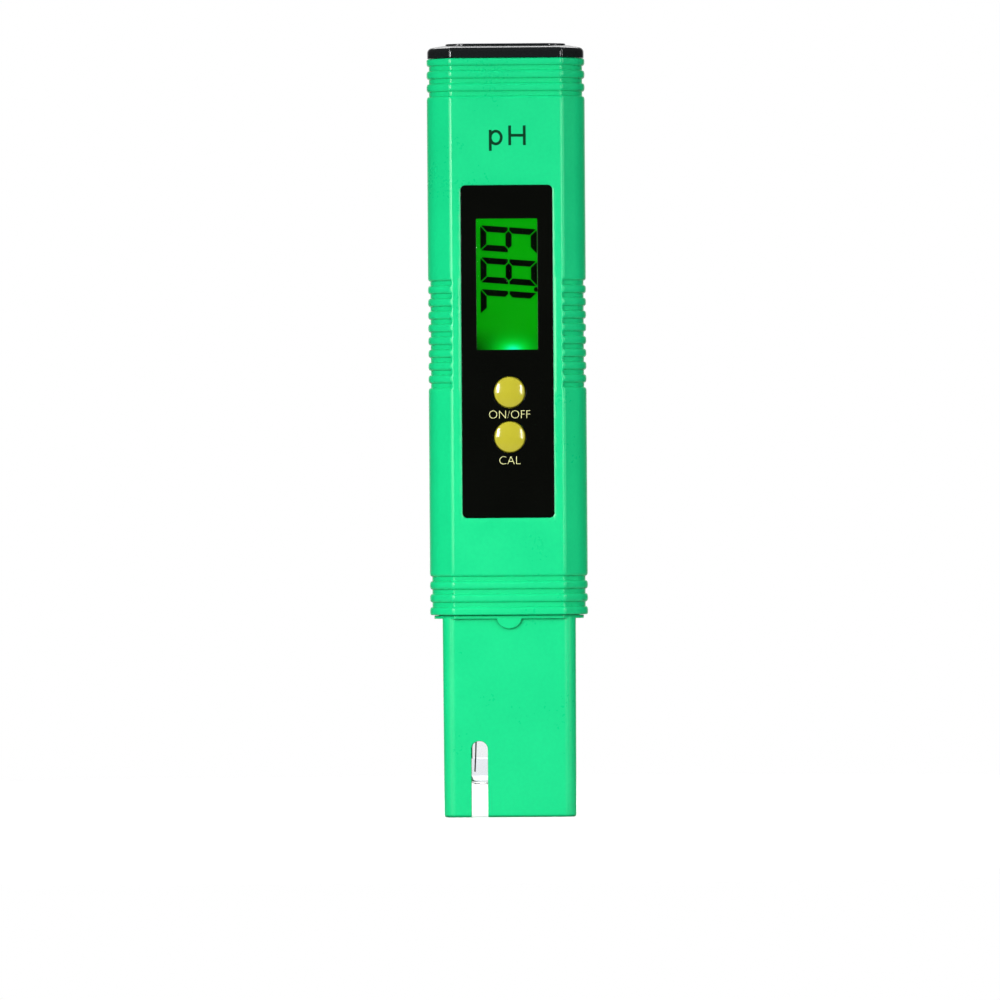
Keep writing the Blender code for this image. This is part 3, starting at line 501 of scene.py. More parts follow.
def glassy(name, color, ior, roughness):
    """A clear moulding with faint flow in its surface."""
    material, tree, shader = new_material(name)
    flow = noise(tree, coordinates(tree), 4 * MM, 1.0)
    mixed = blend(tree, flow, scaled(color, 0.97), color)
    gloss = noise_range(tree, flow, roughness * 0.7, roughness * 1.3)
    normal = bump(tree, flow, 0.004 * MM)
    feed(tree, shader, Base_Color=mixed, Roughness=gloss, Normal=normal, Transmission_Weight=1.0,
         IOR=ior)
    return material


def paint(material, *objects):
    for obj in objects:
        obj.data.materials.clear()
        obj.data.materials.append(material)


def finish(piece, material):
    """Paints a piece."""
    paint(material, piece)


# ---- sleeve


def section():
    corners = [
        (-FLAT_HALF, -HALF_DEPTH), (FLAT_HALF, -HALF_DEPTH),
        (HALF_WIDTH, -SIDE_HALF), (HALF_WIDTH, SIDE_HALF),
        (FLAT_HALF, HALF_DEPTH), (-FLAT_HALF, HALF_DEPTH),
        (-HALF_WIDTH, SIDE_HALF), (-HALF_WIDTH, -SIDE_HALF),
    ]
    radii = (CREASE_RADIUS, CREASE_RADIUS, SIDE_RADIUS, SIDE_RADIUS) * 2
    return outline(corners, radii, CREASE_STEPS, SECTION_SPACING)


SECTION = section()


def groove_levels(low, pitch, count):
    return [low + pitch * i for i in range(count)]


TOP_GROOVES = groove_levels(137.745 * MM, RING_PITCH, END_GROOVES)
BOTTOM_GROOVES = groove_levels(40.5 * MM, RING_PITCH, END_GROOVES)
GRIPS = groove_levels(82.26 * MM, GRIP_PITCH, GRIP_GROOVES)


def groove_depth(distance):
    """Depth at a distance outside a groove's edge: flat floor, steep wall, rounded shoulder."""
    rise = np.clip(1 - distance / SHOULDER_REACH, 0.0, 1.0)
    shoulder = SHOULDER_DROP * (1 - np.sqrt(1 - rise**2))
    sink = np.clip(-distance / FLOOR_FILLET, 0.0, 1.0)
    floor = (GROOVE_DEPTH - SHOULDER_DROP) * (1 - (1 - sink) ** 2)
    return shoulder + floor


def along_outline(points):
    """Distance along a closed outline to each of its points, and its whole length."""
    steps = np.linalg.norm(np.roll(points, -1, axis=0) - points, axis=1)
    return np.concatenate(((0.0,), np.cumsum(steps)[:-1])), steps.sum()


def distance_to_side(points):
    """How far round the outline each point lies from the middle of the nearer side."""
    place, length = along_outline(points)
    nearest = np.full(len(points), length)
    for way in (-1, 1):
        side = place[np.argmin(np.hypot(points[:, 0] - way * HALF_WIDTH, points[:, 1]))]
        gap = np.abs(place - side)
        nearest = np.minimum(nearest, np.minimum(gap, length - gap))
    return nearest


def grip_depth(height, reach, half_length):
    """Depth of the side grips along one row of the sleeve."""
    deepest = np.zeros(len(reach))
    for grip in GRIPS:
        across = abs(height - grip) - (GROOVE_HEIGHT / 2 - GRIP_CORNER)
        ends = reach - (half_length - GRIP_CORNER)
        outside = np.hypot(np.maximum(across, 0.0), np.maximum(ends, 0.0))
        distance = outside + np.minimum(np.maximum(across, ends), 0.0) - GRIP_CORNER
        deepest = np.maximum(deepest, groove_depth(distance))
    return deepest


def ring_depth(height):
    distances = [abs(height - z) - GROOVE_HEIGHT / 2 for z in TOP_GROOVES + BOTTOM_GROOVES]
    return float(groove_depth(np.array(min(distances))))


def sleeve_heights(low, high):
    """Row heights between the rims, close together where the grooves' edges are."""
    share = np.array((-1.6, -0.9, -0.45, 0.0, 0.015, 0.06, 0.15, 0.28, 0.46, 0.7, 1.0))
    offsets = np.where(share < 0, share * FLOOR_FILLET, share * SHOULDER_REACH)
    rows = set(np.round(np.linspace(low, high, SLEEVE_ROWS), 7))
    for groove in TOP_GROOVES + BOTTOM_GROOVES + GRIPS:
        for way in (-1, 1):
            rows.update(np.round(groove + way * (GROOVE_HEIGHT / 2 + offsets), 7))
    rows = sorted(z for z in rows if low <= z <= high)
    kept = [rows[0]]
    for z in rows[1:]:
        if z - kept[-1] > CLOSEST_ROWS:
            kept.append(z)
    return kept


def sleeve_shell(low, high):
    """The grooved sleeve as a tube with rounded rims."""
    points, normals = SECTION(0.0)
    reach = distance_to_side(points)
    grip_end = np.argmin(np.hypot(points[:, 0] - GRIP_START, points[:, 1] + HALF_DEPTH))
    levels = opening_edge(low, 0.0, RIM_RADIUS)
    levels += [(z, 0.0) for z in sleeve_heights(low + RIM_RADIUS, high - RIM_RADIUS)[1:-1]]
    levels += closing_edge(high, 0.0, RIM_RADIUS)
    rings = []
    for height, inset in levels:
        depth = inset + np.maximum(ring_depth(height), grip_depth(height, reach, reach[grip_end]))
        rings.append(lifted(points - normals * depth[:, None], height))
    for height in (high, low):
        rings.append(lifted(points - normals * SLEEVE_WALL, height))
    return skin("sleeve_shell", rings, loop=True)


def build_sleeve():
    """The sleeve with the panel's recess, and openings for the display and the buttons."""
    sleeve = sleeve_shell(*(corner.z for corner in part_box("housing_sleeve")))
    front = -HALF_DEPTH
    inside = front + 2 * SLEEVE_WALL
    lip = -RECESS_FIT - LIP_WIDTH
    recess = stack(
        "recess_tool", panel_outline(),
        ((front - MM, lip), (front, lip), (front + LIP_DEPTH, -RECESS_FIT),
         (front + RECESS_DEPTH, -RECESS_FIT)), "Y",
    )
    low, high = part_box("display_window")
    opening = stack("opening_tool", box_outline(low.xz, high.xz, 0.3 * MM),
                    ((front, -GAP), (inside, -GAP)), "Y")
    cut(sleeve, recess, opening, key_tool("power", front, inside), key_tool("cal", front, inside))
    return stand_in(smooth(sleeve), "housing_sleeve")


# ---- front panel


PANEL_GROWTH = 0.07 * MM
PANEL_CORNER = 0.9 * MM
KEY_RADIUS = 3.02 * MM
KEY_CROWN = 0.42 * MM  # how far the crown's middle stands above its edge
KEY_RIM = 0.34 * MM
KEY_FLANGE_DEPTH = 1.5 * MM  # from the sleeve's face
KEY_BEVEL = 0.1 * MM
WINDOW_FLANGE = 0.7 * MM


def key_center(prefix):
    return front_center(prefix + "_keycap")


def key_tool(prefix, front, back):
    hole = round_outline(key_center(prefix), KEY_RADIUS + HOLE_FIT)
    return stack(prefix + "_hole_tool", hole, ((front - MM, 0.0), (back, 0.0)), "Y")


def panel_outline():
    low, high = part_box("front_panel")
    grow = Vector((PANEL_GROWTH, 0.0))
    return box_outline(low.xz - grow, high.xz + grow, PANEL_CORNER, steps=8)


def build_panel():
    low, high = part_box("front_panel")
    panel = plate("panel_plate", panel_outline(), low.y, high.y, 0.05 * MM)
    behind = high.y + MM
    tools = [flared_tool("lens_tool", window_opening(), low.y, behind, 0.04 * MM)]
    for prefix in ("power", "cal"):
        hole = round_outline(key_center(prefix), KEY_RADIUS + HOLE_FIT)
        tools.append(flared_tool(prefix + "_panel_tool", hole, low.y, behind, 0.06 * MM))
    cut(panel, *tools)
    return stand_in(smooth(panel), "front_panel")


def window_opening():
    low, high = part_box("display_window")
    shrink = Vector((WINDOW_FLANGE, WINDOW_FLANGE))
    return box_outline(low.xz + shrink, high.xz - shrink, 0.15 * MM)


def build_window():
    """A clear lens that fills the panel's opening, with a wider flange behind the panel."""
    low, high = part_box("display_window")
    step = -HALF_DEPTH + RECESS_DEPTH + 0.05 * MM
    narrow = WINDOW_FLANGE + 0.04 * MM
    levels = opening_edge(low.y, narrow, 0.05 * MM) + [(step, narrow), (step, 0.0)]
    levels += closing_edge(high.y, 0.0, 0.05 * MM)
    window = stack("window_lens", box_outline(low.xz, high.xz, 0.1 * MM, steps=3), levels, "Y")
    return stand_in(smooth(window), "display_window")


# ---- buttons


def build_key(prefix):
    """A domed button: a shallow crown that turns over a soft rim, and a flange behind the wall."""
    low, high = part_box(prefix + "_keycap")
    front, back = low.y, high.y
    inner = KEY_RADIUS - KEY_RIM
    slope = math.atan(2 * KEY_CROWN / inner)
    profile = []
    for share in np.linspace(0, 1, 9):
        profile.append((max(AXIS_RADIUS, inner * share), front + KEY_CROWN * share**2))
    for angle in np.linspace(slope, math.pi / 2, 11)[1:]:
        out = math.sin(angle) - math.sin(slope)
        down = math.cos(slope) - math.cos(angle)
        profile.append((inner + KEY_RIM * out, front + KEY_CROWN + KEY_RIM * down))
    outer = profile[-1][0]
    step = -HALF_DEPTH + KEY_FLANGE_DEPTH
    flange = (high.x - low.x) / 2
    profile += [(outer, step - KEY_BEVEL), (outer + KEY_BEVEL, step)]
    profile += [(flange - KEY_BEVEL, step), (flange, step + KEY_BEVEL)]
    profile += [(flange, back - KEY_BEVEL), (flange - KEY_BEVEL, back), (AXIS_RADIUS, back)]
    key = turned(prefix + "_key", profile, key_center(prefix), "Y")
    return stand_in(smooth(key), prefix + "_keycap")


# ---- display and legends


DIGIT_HEIGHT = 10.8 * MM
DIGIT_WIDTH = 4.82 * MM
DIGIT_PITCH = 6.07 * MM
DIGIT_STROKE = 1.2 * MM
DIGIT_GAP = 0.12 * MM
DIGIT_BLUNT = 0.36 * MM  # cut from the outer corners
DIGIT_SLANT = math.tan(math.radians(4.5))
DIGIT_CENTER_X = 0.36 * MM
TOP_DIGIT_DROP = 4.0 * MM  # from the window's upper edge to the middle of the last digit
POINT_RADIUS = 0.47 * MM
POINT_DROP = 1.56  # digit pitches, from the last digit's middle to the point
INK = 0.02 * MM
PRINT = 0.012 * MM  # thickness of the printed marks
LEGEND_HEIGHT = 1.5 * MM
LEGEND_OFFSET = -0.024  # thins the letters, in units of the font
ON_OFF_DROP = 4.22 * MM
CAL_DROP = 4.42 * MM


def segment_shapes():
    """The seven bars of a digit in (right, up), about its middle, keyed a to g."""
    width, height, stroke, gap = DIGIT_WIDTH / 2, DIGIT_HEIGHT / 2, DIGIT_STROKE, DIGIT_GAP
    half = stroke / 2
    blunt = DIGIT_BLUNT
    near, far = (blunt - gap) / 2, (blunt + gap) / 2
    top = [
        (-width + blunt, height), (width - blunt, height), (width - far, height - near),
        (width - stroke - gap, height - stroke), (-width + stroke + gap, height - stroke),
        (-width + far, height - near),
    ]
    upper_right = [
        (width - near, height - far), (width, height - blunt), (width, gap + near),
        (width - near, gap), (width - half, gap), (width - stroke, half + gap),
        (width - stroke, height - stroke - gap),
    ]
    middle = [
        (-width + half + gap, 0.0), (-width + stroke + gap, half),
        (width - stroke - gap, half), (width - half - gap, 0.0),
        (width - stroke - gap, -half), (-width + stroke + gap, -half),
    ]

    def flipped(shape, x, y):
        return [(x * right, y * up) for right, up in shape]

    return {
        "a": top,
        "b": upper_right,
        "c": flipped(upper_right, 1, -1),
        "d": flipped(top, 1, -1),
        "e": flipped(upper_right, -1, -1),
        "f": flipped(upper_right, -1, 1),
        "g": middle,
    }


def digit(segments, center_z):
    """A digit that reads upwards along the pen, leaning as italic figures do."""
    shapes = segment_shapes()
    return [
        [(DIGIT_CENTER_X - up, center_z + right + up * DIGIT_SLANT) for right, up in shapes[key]]
        for key in segments
    ]


def build_digits(front):
    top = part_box("display_window")[1].z - WINDOW_FLANGE - TOP_DIGIT_DROP
    polygons = digit("abcdfg", top)
    polygons += digit("abcdefg", top - DIGIT_PITCH)
    polygons += digit("abc", top - 2 * DIGIT_PITCH)
    point = (DIGIT_CENTER_X + DIGIT_HEIGHT / 2 - 0.2 * MM, top - POINT_DROP * DIGIT_PITCH)
    polygons.append(arc(point, POINT_RADIUS, 0, 345, 23))
    digits = raised_shapes("display_digits", polygons, front, front - INK)
    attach(digits, "housing")
    return digits


def build_display_glass():
    low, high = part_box("lcd_front_glass")
    shape = box_outline(low.xz, high.xz, 0.1 * MM, 3)
    glass = plate("display_glass", shape, low.y, high.y, 0.06 * MM)
    return stand_in(smooth(glass), "lcd_front_glass")


def legend(name, text, center, width):
    """Plain raised lettering, as printed, of a given width."""
    curve = bpy.data.curves.new(name, "FONT")
    curve.body = text
    curve.extrude = 0.5
    curve.offset = LEGEND_OFFSET
    curve.resolution_u = 6
    piece = freeze_curve(new_object(name, curve))
    corners = np.array([v.co for v in piece.data.vertices])
    low, high = corners.min(0), corners.max(0)
    scale = np.array((width, LEGEND_HEIGHT, PRINT)) / (high - low)
    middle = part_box("front_panel")[0].y - PRINT / 2
    flat = (corners - (low + high) / 2) * scale
    for vertex, (x, y, z) in zip(piece.data.vertices, flat):
        vertex.co = (center[0] + x, middle - z, center[1] + y)
    face_outwards(piece.data)
    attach(piece, "housing")
    return piece


def freeze_curve(obj):
    """Replaces a text or curve object by a mesh object of the same name."""
    mesh = evaluated_mesh(obj)
    name = obj.name
    bpy.data.objects.remove(obj, do_unlink=True)
    bm = bmesh.new()
    bm.from_mesh(mesh)
    bmesh.ops.remove_doubles(bm, verts=bm.verts, dist=0.0001)
    bm.to_mesh(mesh)
    bm.free()
    return new_object(name, mesh)


# ---- battery cap


CAP_INSET = 0.12 * MM
CAP_RADIUS = 0.95 * MM
CAP_RIM_DROP = 0.3 * MM  # from the CAD cap's top
BOSS_RISE = 0.38 * MM  # over the CAD cap's top
PLUG_INSET = 2.0 * MM
HOLLOW_INSET = 3.2 * MM


def build_cap():
    """The end cap: a crowned top with a raised oval, and a hollow plug below."""
    low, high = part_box("battery_cap")
    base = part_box("housing_sleeve")[1].z + 0.1 * MM
    rim = high.z - CAP_RIM_DROP
    levels = opening_edge(base, CAP_INSET, 0.1 * MM)
    for angle in np.radians(np.linspace(0, 80, 11)):
        drop = CAP_RADIUS * (1 - math.sin(angle)) + 0.04 * MM
        levels.append((rim - drop, CAP_INSET + CAP_RADIUS * (1 - math.cos(angle))))
    for rise, inset in ((0.12 * MM, 1.8 * MM), (0.3 * MM, 2.8 * MM), (BOSS_RISE, 3.8 * MM)):
        levels.append((rim + rise, inset))
    cap = stack("cap_shell", SECTION, levels)
    boss = stack(
        "boss_tool", stadium_outline(11.45 * MM, 4.0 * MM),
        [(rim - MM, 0.0), *closing_edge(high.z + BOSS_RISE, 0.0, 0.16 * MM)],
    )
    plug = stack(
        "plug_tool", SECTION,
        [*opening_edge(low.z, PLUG_INSET, 0.2 * MM), (base + 0.5 * MM, PLUG_INSET)],
    )
    join(cap, boss, plug)
    ends = (low.z - MM, HOLLOW_INSET), (base - 0.1 * MM, HOLLOW_INSET)
    cut(cap, stack("hollow_tool", SECTION, ends))
    return stand_in(smooth(cap), "battery_cap")


# ---- skirt


SKIRT_DRAFT = 0.13 * MM
SKIRT_WALL = 1.2 * MM
SKIRT_HALF_WIDTH = 12.7 * MM
SKIRT_HALF_DEPTH = 5.6 * MM
SKIRT_CORNER = 2.5 * MM
COLLAR_INSET = 0.8 * MM
SKIRT_PLUG_INSET = 1.6 * MM
SEAL_GROOVE_INSET = 2.1 * MM
TAB_RADIUS = 2.44 * MM
SLOT_X = -5.81 * MM
SLOT_WIDTH = 3.12 * MM
SLOT_TOP = 14.5 * MM


def build_skirt():
    """The skirt and its collar, with a plug that goes up into the sleeve, hollow and slotted."""
    low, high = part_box("probe_skirt")
    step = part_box("housing_sleeve")[0].z - 0.7 * MM
    corner = Vector((SKIRT_HALF_WIDTH, SKIRT_HALF_DEPTH))
    shape = box_outline(-corner, corner, SKIRT_CORNER, 14)
    rim = [(z, inset + SKIRT_DRAFT) for z, inset in opening_edge(low.z, 0.0, 0.5 * MM, steps=7)]
    skirt = stack("skirt_shell", shape, rim + [(step + 0.3 * MM, 0.0)])
    collar_top = closing_edge(step + 0.6 * MM, COLLAR_INSET, 0.1 * MM)
    collar = stack(
        "collar_tool", SECTION, opening_edge(step, COLLAR_INSET, 0.08 * MM) + collar_top
    )
    plug_top = closing_edge(high.z, SKIRT_PLUG_INSET, 0.3 * MM)
    plug = stack(
        "skirt_plug_tool", SECTION, [(step + 0.2 * MM, SKIRT_PLUG_INSET), *plug_top]
    )
    join(skirt, collar, plug, tab_tool(step))
    inside = SKIRT_DRAFT + SKIRT_WALL
    hollow = stack(
        "skirt_hollow_tool", shape,
        [(low.z - MM, SKIRT_WALL), (low.z, inside - 0.15 * MM), (low.z + 0.15 * MM, inside),
         (high.z + MM, SKIRT_WALL)],
    )
    cut(skirt, hollow, slot_tool(-1), slot_tool(1), seal_groove_tool())
    return stand_in(smooth(skirt), "probe_skirt")


def seal_groove_tool():
    seal_low, seal_high = (corner.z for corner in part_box("probe_seal"))
    bottom, top = seal_low - GAP, seal_high + GAP
    levels = (bottom, -MM), (top, -MM), (top, SEAL_GROOVE_INSET), (bottom, SEAL_GROOVE_INSET)
    return stack("seal_groove_tool", SECTION, levels, loop=True)


def tab_tool(step):
    """The half-disc tab that hangs from the collar over the skirt's front."""
    center = (0.0, step + 0.55 * MM)
    angles = np.radians(np.concatenate((np.linspace(180, 360, 41), (372, 168))))
    normals = np.column_stack((np.cos(angles), np.sin(angles)))

    def at(inset=0.0):
        points = np.array(center) + normals * (TAB_RADIUS - inset)
        points[-2:, 1] = center[1] + 0.02 * MM
        points[-2:, 0] = np.array((TAB_RADIUS - inset, inset - TAB_RADIUS)) * 0.9
        return points, normals

    front = -HALF_DEPTH + 0.8 * MM
    levels = opening_edge(front, 0.0, 0.12 * MM) + [(-5.0 * MM, 0.0)]
    return stack("tab_tool", at, levels, "Y")


def slot_tool(way):
    """One half of the slot's cutter, for the front wall or the back one."""
    half = SLOT_WIDTH / 2
    angles = np.radians(np.linspace(0, 180, 33))
    arch = np.column_stack((np.cos(angles), np.sin(angles)))
    normals = np.concatenate((((1.0, 0.0),), arch, ((-1.0, 0.0),)))
    heights = np.full(len(normals), SLOT_TOP - half)
    heights[[0, -1]] = -2 * MM
    centers = np.column_stack((np.full(len(normals), SLOT_X), heights))

    def at(inset=0.0):
        return centers + normals * (half - inset), normals

    surface_y = way * 5.36 * MM
    return flared_tool(f"slot_tool_{way}", at, surface_y, 0.0, 0.09 * MM)


# ---- glass electrode


TUBE_RADIUS = 3.12 * MM
TUBE_WALL = 0.1 * MM
BULB_DROP = 0.1 * MM
BULB_FLOOR = 0.36 * MM
BULB_CORNER = 1.4 * MM
BULB_INNER_CORNER = 1.25 * MM
FILL_LEVEL = 11.0 * MM
FILL_GAP = 0.02 * MM
MENISCUS = 0.22 * MM
WIRE_RADIUS = 0.14 * MM
WIRE_BEND = 0.4 * MM


def build_glass_tube():
    """The glass tube and its bulb, with a thicker floor and corner than its wall."""
    low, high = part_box("glass_electrode")
    bottom, floor = low.z - BULB_DROP, low.z + BULB_FLOOR
    inside = TUBE_RADIUS - TUBE_WALL
    outer_center = TUBE_RADIUS - BULB_CORNER, bottom + BULB_CORNER
    inner_center = inside - BULB_INNER_CORNER, floor + BULB_INNER_CORNER
    profile = [(AXIS_RADIUS, bottom), *arc(outer_center, BULB_CORNER, -90, 0, 14)]
    profile += [(TUBE_RADIUS, high.z - 0.1 * MM), (TUBE_RADIUS - 0.05 * MM, high.z)]
    profile += [(inside, high.z), *arc(inner_center, BULB_INNER_CORNER, 0, -90, 14)]
    profile.append((AXIS_RADIUS, floor))
    glass = turned("glass_tube", profile, ((low.x + high.x) / 2, 0.0))
    return stand_in(smooth(glass, 50), "glass_electrode")


def build_electrolyte():
    """The filling in the bulb, with a dished meniscus."""
    low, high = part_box("glass_electrode")
    radius = TUBE_RADIUS - TUBE_WALL - FILL_GAP
    corner = BULB_INNER_CORNER - FILL_GAP
    bottom = low.z + BULB_FLOOR + FILL_GAP
    profile = [(AXIS_RADIUS, bottom), *arc((radius - corner, bottom + corner), corner, -90, 0, 12)]
    for share in np.linspace(1, 0, 12):
        profile.append((max(AXIS_RADIUS, radius * share), FILL_LEVEL + MENISCUS * share**6))
    filling = turned("electrolyte", profile, ((low.x + high.x) / 2, 0.0))
    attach(smooth(filling, 50), "housing")
    return filling


def build_wire():
    """The wire in the tube, bent a little aside at its foot."""
    low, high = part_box("electrode_wire")
    middle = (low.x + high.x) / 2
    points = []
    for share in np.linspace(0, 1, 16):
        height = low.z + (high.z - low.z) * share
        points.append((middle - WIRE_BEND * (1 - share) ** 3, 0.0, height))
    wire = freeze_curve(tube("inner_wire", points, WIRE_RADIUS))
    wire.data.shade_smooth()
    return stand_in(wire, "electrode_wire")


# ---- battery drawer


POCKET_FIT = 0.25 * MM
POCKET_LIP = 0.25 * MM
CELL_RING = 0.95 * MM  # from the lid's edge to the can's


def build_tray():
    """The drawer's frame: rounded edges, a pocket for each cell and a neck into the cap."""
    low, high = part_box("battery_tray")
    tray = plate("drawer_tray", box_outline(low.xz, high.xz, 1.0 * MM), low.y, high.y, 0.3 * MM)
    neck = stack(
        "neck_tool", box_outline((-8.0 * MM, -2.4 * MM), (8.0 * MM, 2.4 * MM), 0.6 * MM),
        ((high.z - MM, 0.0), (high.z + 4.2 * MM, 0.0)),
    )
    join(tray, neck)
    pockets = []
    for side in ("left", "right"):
        cell_low, cell_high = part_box("button_cell_" + side)
        radius = (cell_high.x - cell_low.x) / 2 + POCKET_FIT
        pocket = round_outline(front_center("button_cell_" + side), radius, 96)
        for way, face in ((-1, low.y), (1, high.y)):
            name = f"pocket_tool_{side}_{way}"
            pockets.append(flared_tool(name, pocket, face, 0.0, POCKET_LIP))
    cut(tray, *pockets)
    return stand_in(smooth(tray), "battery_tray")


def build_cell(side):
    """A button cell: a crimped can, a dark gasket line and a smaller lid towards the front."""
    low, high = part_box("button_cell_" + side)
    radius = (high.x - low.x) / 2
    front, back = low.y, high.y
    lid = radius - CELL_RING
    profile = [(AXIS_RADIUS, front), (lid - 0.35 * MM, front)]
    profile += [(lid - 0.1 * MM, front + 0.06 * MM), (lid, front + 0.2 * MM)]
    profile += [(lid, front + 0.5 * MM), (lid + 0.12 * MM, front + 0.5 * MM)]
    profile += [(lid + 0.2 * MM, front + 0.34 * MM), (lid + 0.45 * MM, front + 0.28 * MM)]
    profile += [(radius - 0.28 * MM, front + 0.36 * MM), (radius - 0.08 * MM, front + 0.56 * MM)]
    profile += [(radius, front + 0.9 * MM), (radius, back - 0.35 * MM)]
    profile += [(radius - 0.1 * MM, back - 0.1 * MM), (radius - 0.35 * MM, back)]
    profile += [(AXIS_RADIUS, back)]
    cell = turned("cell_" + side, profile, front_center("button_cell_" + side), "Y")
    return stand_in(smooth(cell), "button_cell_" + side)


def build_link():
    """The strip that joins the two lids."""
    low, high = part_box("cell_link")
    shape = box_outline(low.xz, high.xz, 0.6 * MM)
    link = plate("link_strip", shape, low.y, high.y, 0.05 * MM)
    return stand_in(smooth(link), "cell_link")


# ---- finishes


WHITE = (1.0, 1.0, 1.0, 1.0)
GREEN = (0.006, 0.72, 0.262)
YELLOW = (0.52, 0.47, 0.033)
LAMP_X = 1.1 * MM
GLOW_WIDTH = 3.0 * MM
GLOW_HEIGHT = 1.8 * MM
CORE_TIGHTNESS = 6.0  # how much faster the glow's core falls off
DISPLAY_STRENGTH = 1.05
DARK = (0.0, 0.0, 0.0)


def display_material():
    """A backlit display: green, brighter to the right, with the lamp's glow at its lower edge."""
    material, tree, shader = new_material("backlit_display")
    low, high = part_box("display_window")
    flange = Vector((WINDOW_FLANGE, 0.0, WINDOW_FLANGE))
    low, high = low + flange, high - flange
    vector = coordinates(tree)
    parts = new_node(tree, "ShaderNodeSeparateXYZ", Vector=vector)
    across, up = parts.outputs["X"], parts.outputs["Z"]
    drift = noise_range(tree, noise(tree, vector, 9 * MM, 1.0), -0.06, 0.06)
    ramp = between(tree, across, low.x, high.x, 0.86, 1.06)
    lift = between(tree, up, high.z - 4 * MM, high.z, 0.0, 0.14)
    level = calc(tree, "ADD", calc(tree, "ADD", ramp, lift), drift)
    level = calc(tree, "MULTIPLY", level, corner_dimming(tree, across, up, low, high))
    spread = glow_spread(tree, across, up, low.z)
    glow = calc(tree, "POWER", math.e, calc(tree, "MULTIPLY", spread, -1.0))
    tight = calc(tree, "MULTIPLY", spread, -CORE_TIGHTNESS)
    core = calc(tree, "POWER", math.e, tight)
    lit = blend(tree, level, DARK, (0.0001, 0.34, 0.0003))
    lit = blend(tree, glow, lit, (0.0005, 0.86, 0.04))
    lit = blend(tree, core, lit, (0.006, 1.0, 0.52))
    unlit = blend(tree, level, DARK, (0.002, 0.01, 0.002))
    gloss = noise_range(tree, noise(tree, vector, 0.3 * MM), 0.08, 0.12)
    feed(tree, shader, Base_Color=unlit, Roughness=gloss, Specular_IOR_Level=0.1,
         Emission_Color=lit, Emission_Strength=DISPLAY_STRENGTH)
    return material


def glow_spread(tree, across, up, lamp_z):
    """Squared distance from the lamp, in units of the glow's size."""
    squares = []
    for place, lamp, size in ((across, LAMP_X, GLOW_WIDTH), (up, lamp_z, GLOW_HEIGHT)):
        share = calc(tree, "DIVIDE", calc(tree, "SUBTRACT", place, lamp), size)
        squares.append(calc(tree, "MULTIPLY", share, share))
    return calc(tree, "ADD", *squares)


def corner_dimming(tree, across, up, low, high):
    """Falls in the display's two lower corners, where the lamp's light doesn't reach."""
    fade_up = between(tree, up, low.z, low.z + 4.5 * MM, 1.0, 0.0)
    left = between(tree, across, low.x, low.x + 5 * MM, 0.85, 0.0)
    right = between(tree, across, high.x - 2.5 * MM, high.x, 0.0, 0.3)
    corner = calc(tree, "MULTIPLY", fade_up, calc(tree, "ADD", left, right))
    return calc(tree, "SUBTRACT", 1.0, corner)


def board_material():
    """Solder mask over copper runs, which show as slightly raised paler lines."""
    material, tree, shader = new_material("board_laminate")
    vector = coordinates(tree)
    turn = new_node(tree, "ShaderNodeMapping", Vector=vector, Rotation=(math.pi / 2, 0.0, 0.0))
    runs = new_node(
        tree, "ShaderNodeTexBrick", Vector=turn.outputs["Vector"], Scale=260.0, Mortar_Size=0.03,
        Color1=(*DARK, 1.0), Color2=(0.1, 0.1, 0.1, 1.0), Mortar=WHITE,
    ).outputs["Color"]
    mask = blend(tree, runs, (0.006, 0.095, 0.035), (0.02, 0.24, 0.08))
    gloss = noise_range(tree, noise(tree, vector, 2 * MM), 0.28, 0.42)
    feed(tree, shader, Base_Color=mask, Roughness=gloss, Normal=bump(tree, runs, 0.03 * MM))
    return material


def paint_nodes(material, *names):
    paint(material, *(frame["nodes"][name] for name in names))


def finish_inner_parts():
    """Materials for the CAD parts that keep their own shape."""
    white = surface("white_abs", (0.74, 0.75, 0.72), 0.45, relief=0.003 * MM)
    paint_nodes(white, "lcd_frame", "board_carrier", "backlight_led", "power_switch_plunger",
                "cal_switch_plunger", "reference_tube")
    ivory = surface("holder_resin", (0.7, 0.68, 0.6), 0.5)
    paint_nodes(ivory, "electrode_holder")
    epoxy = surface("chip_epoxy", (0.016, 0.016, 0.018), 0.55, grain=0.1 * MM, relief=0.008 * MM)
    paint_nodes(epoxy, "meter_chip", "amplifier_chip", "power_switch_body", "cal_switch_body")
    ceramic = surface("ceramic", (0.56, 0.42, 0.27), 0.75, grain=0.08 * MM, relief=0.01 * MM)
    paint_nodes(ceramic, "capacitor_1", "capacitor_2", "reference_junction")
    rubber = surface("rubber", (0.022, 0.022, 0.024), 0.7, relief=0.006 * MM)
    paint_nodes(rubber, "zebra_strip", "cap_seal", "probe_seal", "tube_stopper",
                "reference_stopper")
    jacket = surface("lead_jacket", (0.5, 0.04, 0.03), 0.42, relief=0.002 * MM)
    paint_nodes(jacket, "electrode_lead", "reference_lead", "sensor_lead")
    steel = metal("steel", (0.6, 0.59, 0.57), 0.28, stretch=(6.0, 6.0, 0.4))
    screws = [f"board_screw_{number}" for number in range(1, 5)]
    paint_nodes(steel, "crystal", "temperature_sensor", *screws)
    spring = metal("spring_steel", (0.62, 0.56, 0.42), 0.3, stretch=(1.0, 1.0, 0.2))
    paint_nodes(spring, "battery_contact_left", "battery_contact_right")
    paint_nodes(metal("silver", (0.3, 0.27, 0.25), 0.45), "reference_wire")
    guide = surface("light_guide", (0.05, 0.55, 0.12), 0.3, Subsurface_Weight=0.2)
    paint_nodes(guide, "backlight_guide")
    paint_nodes(glassy("rear_glass", (0.85, 0.95, 0.88), 1.5, 0.05), "lcd_rear_glass")
    paint_nodes(board_material(), "circuit_board")


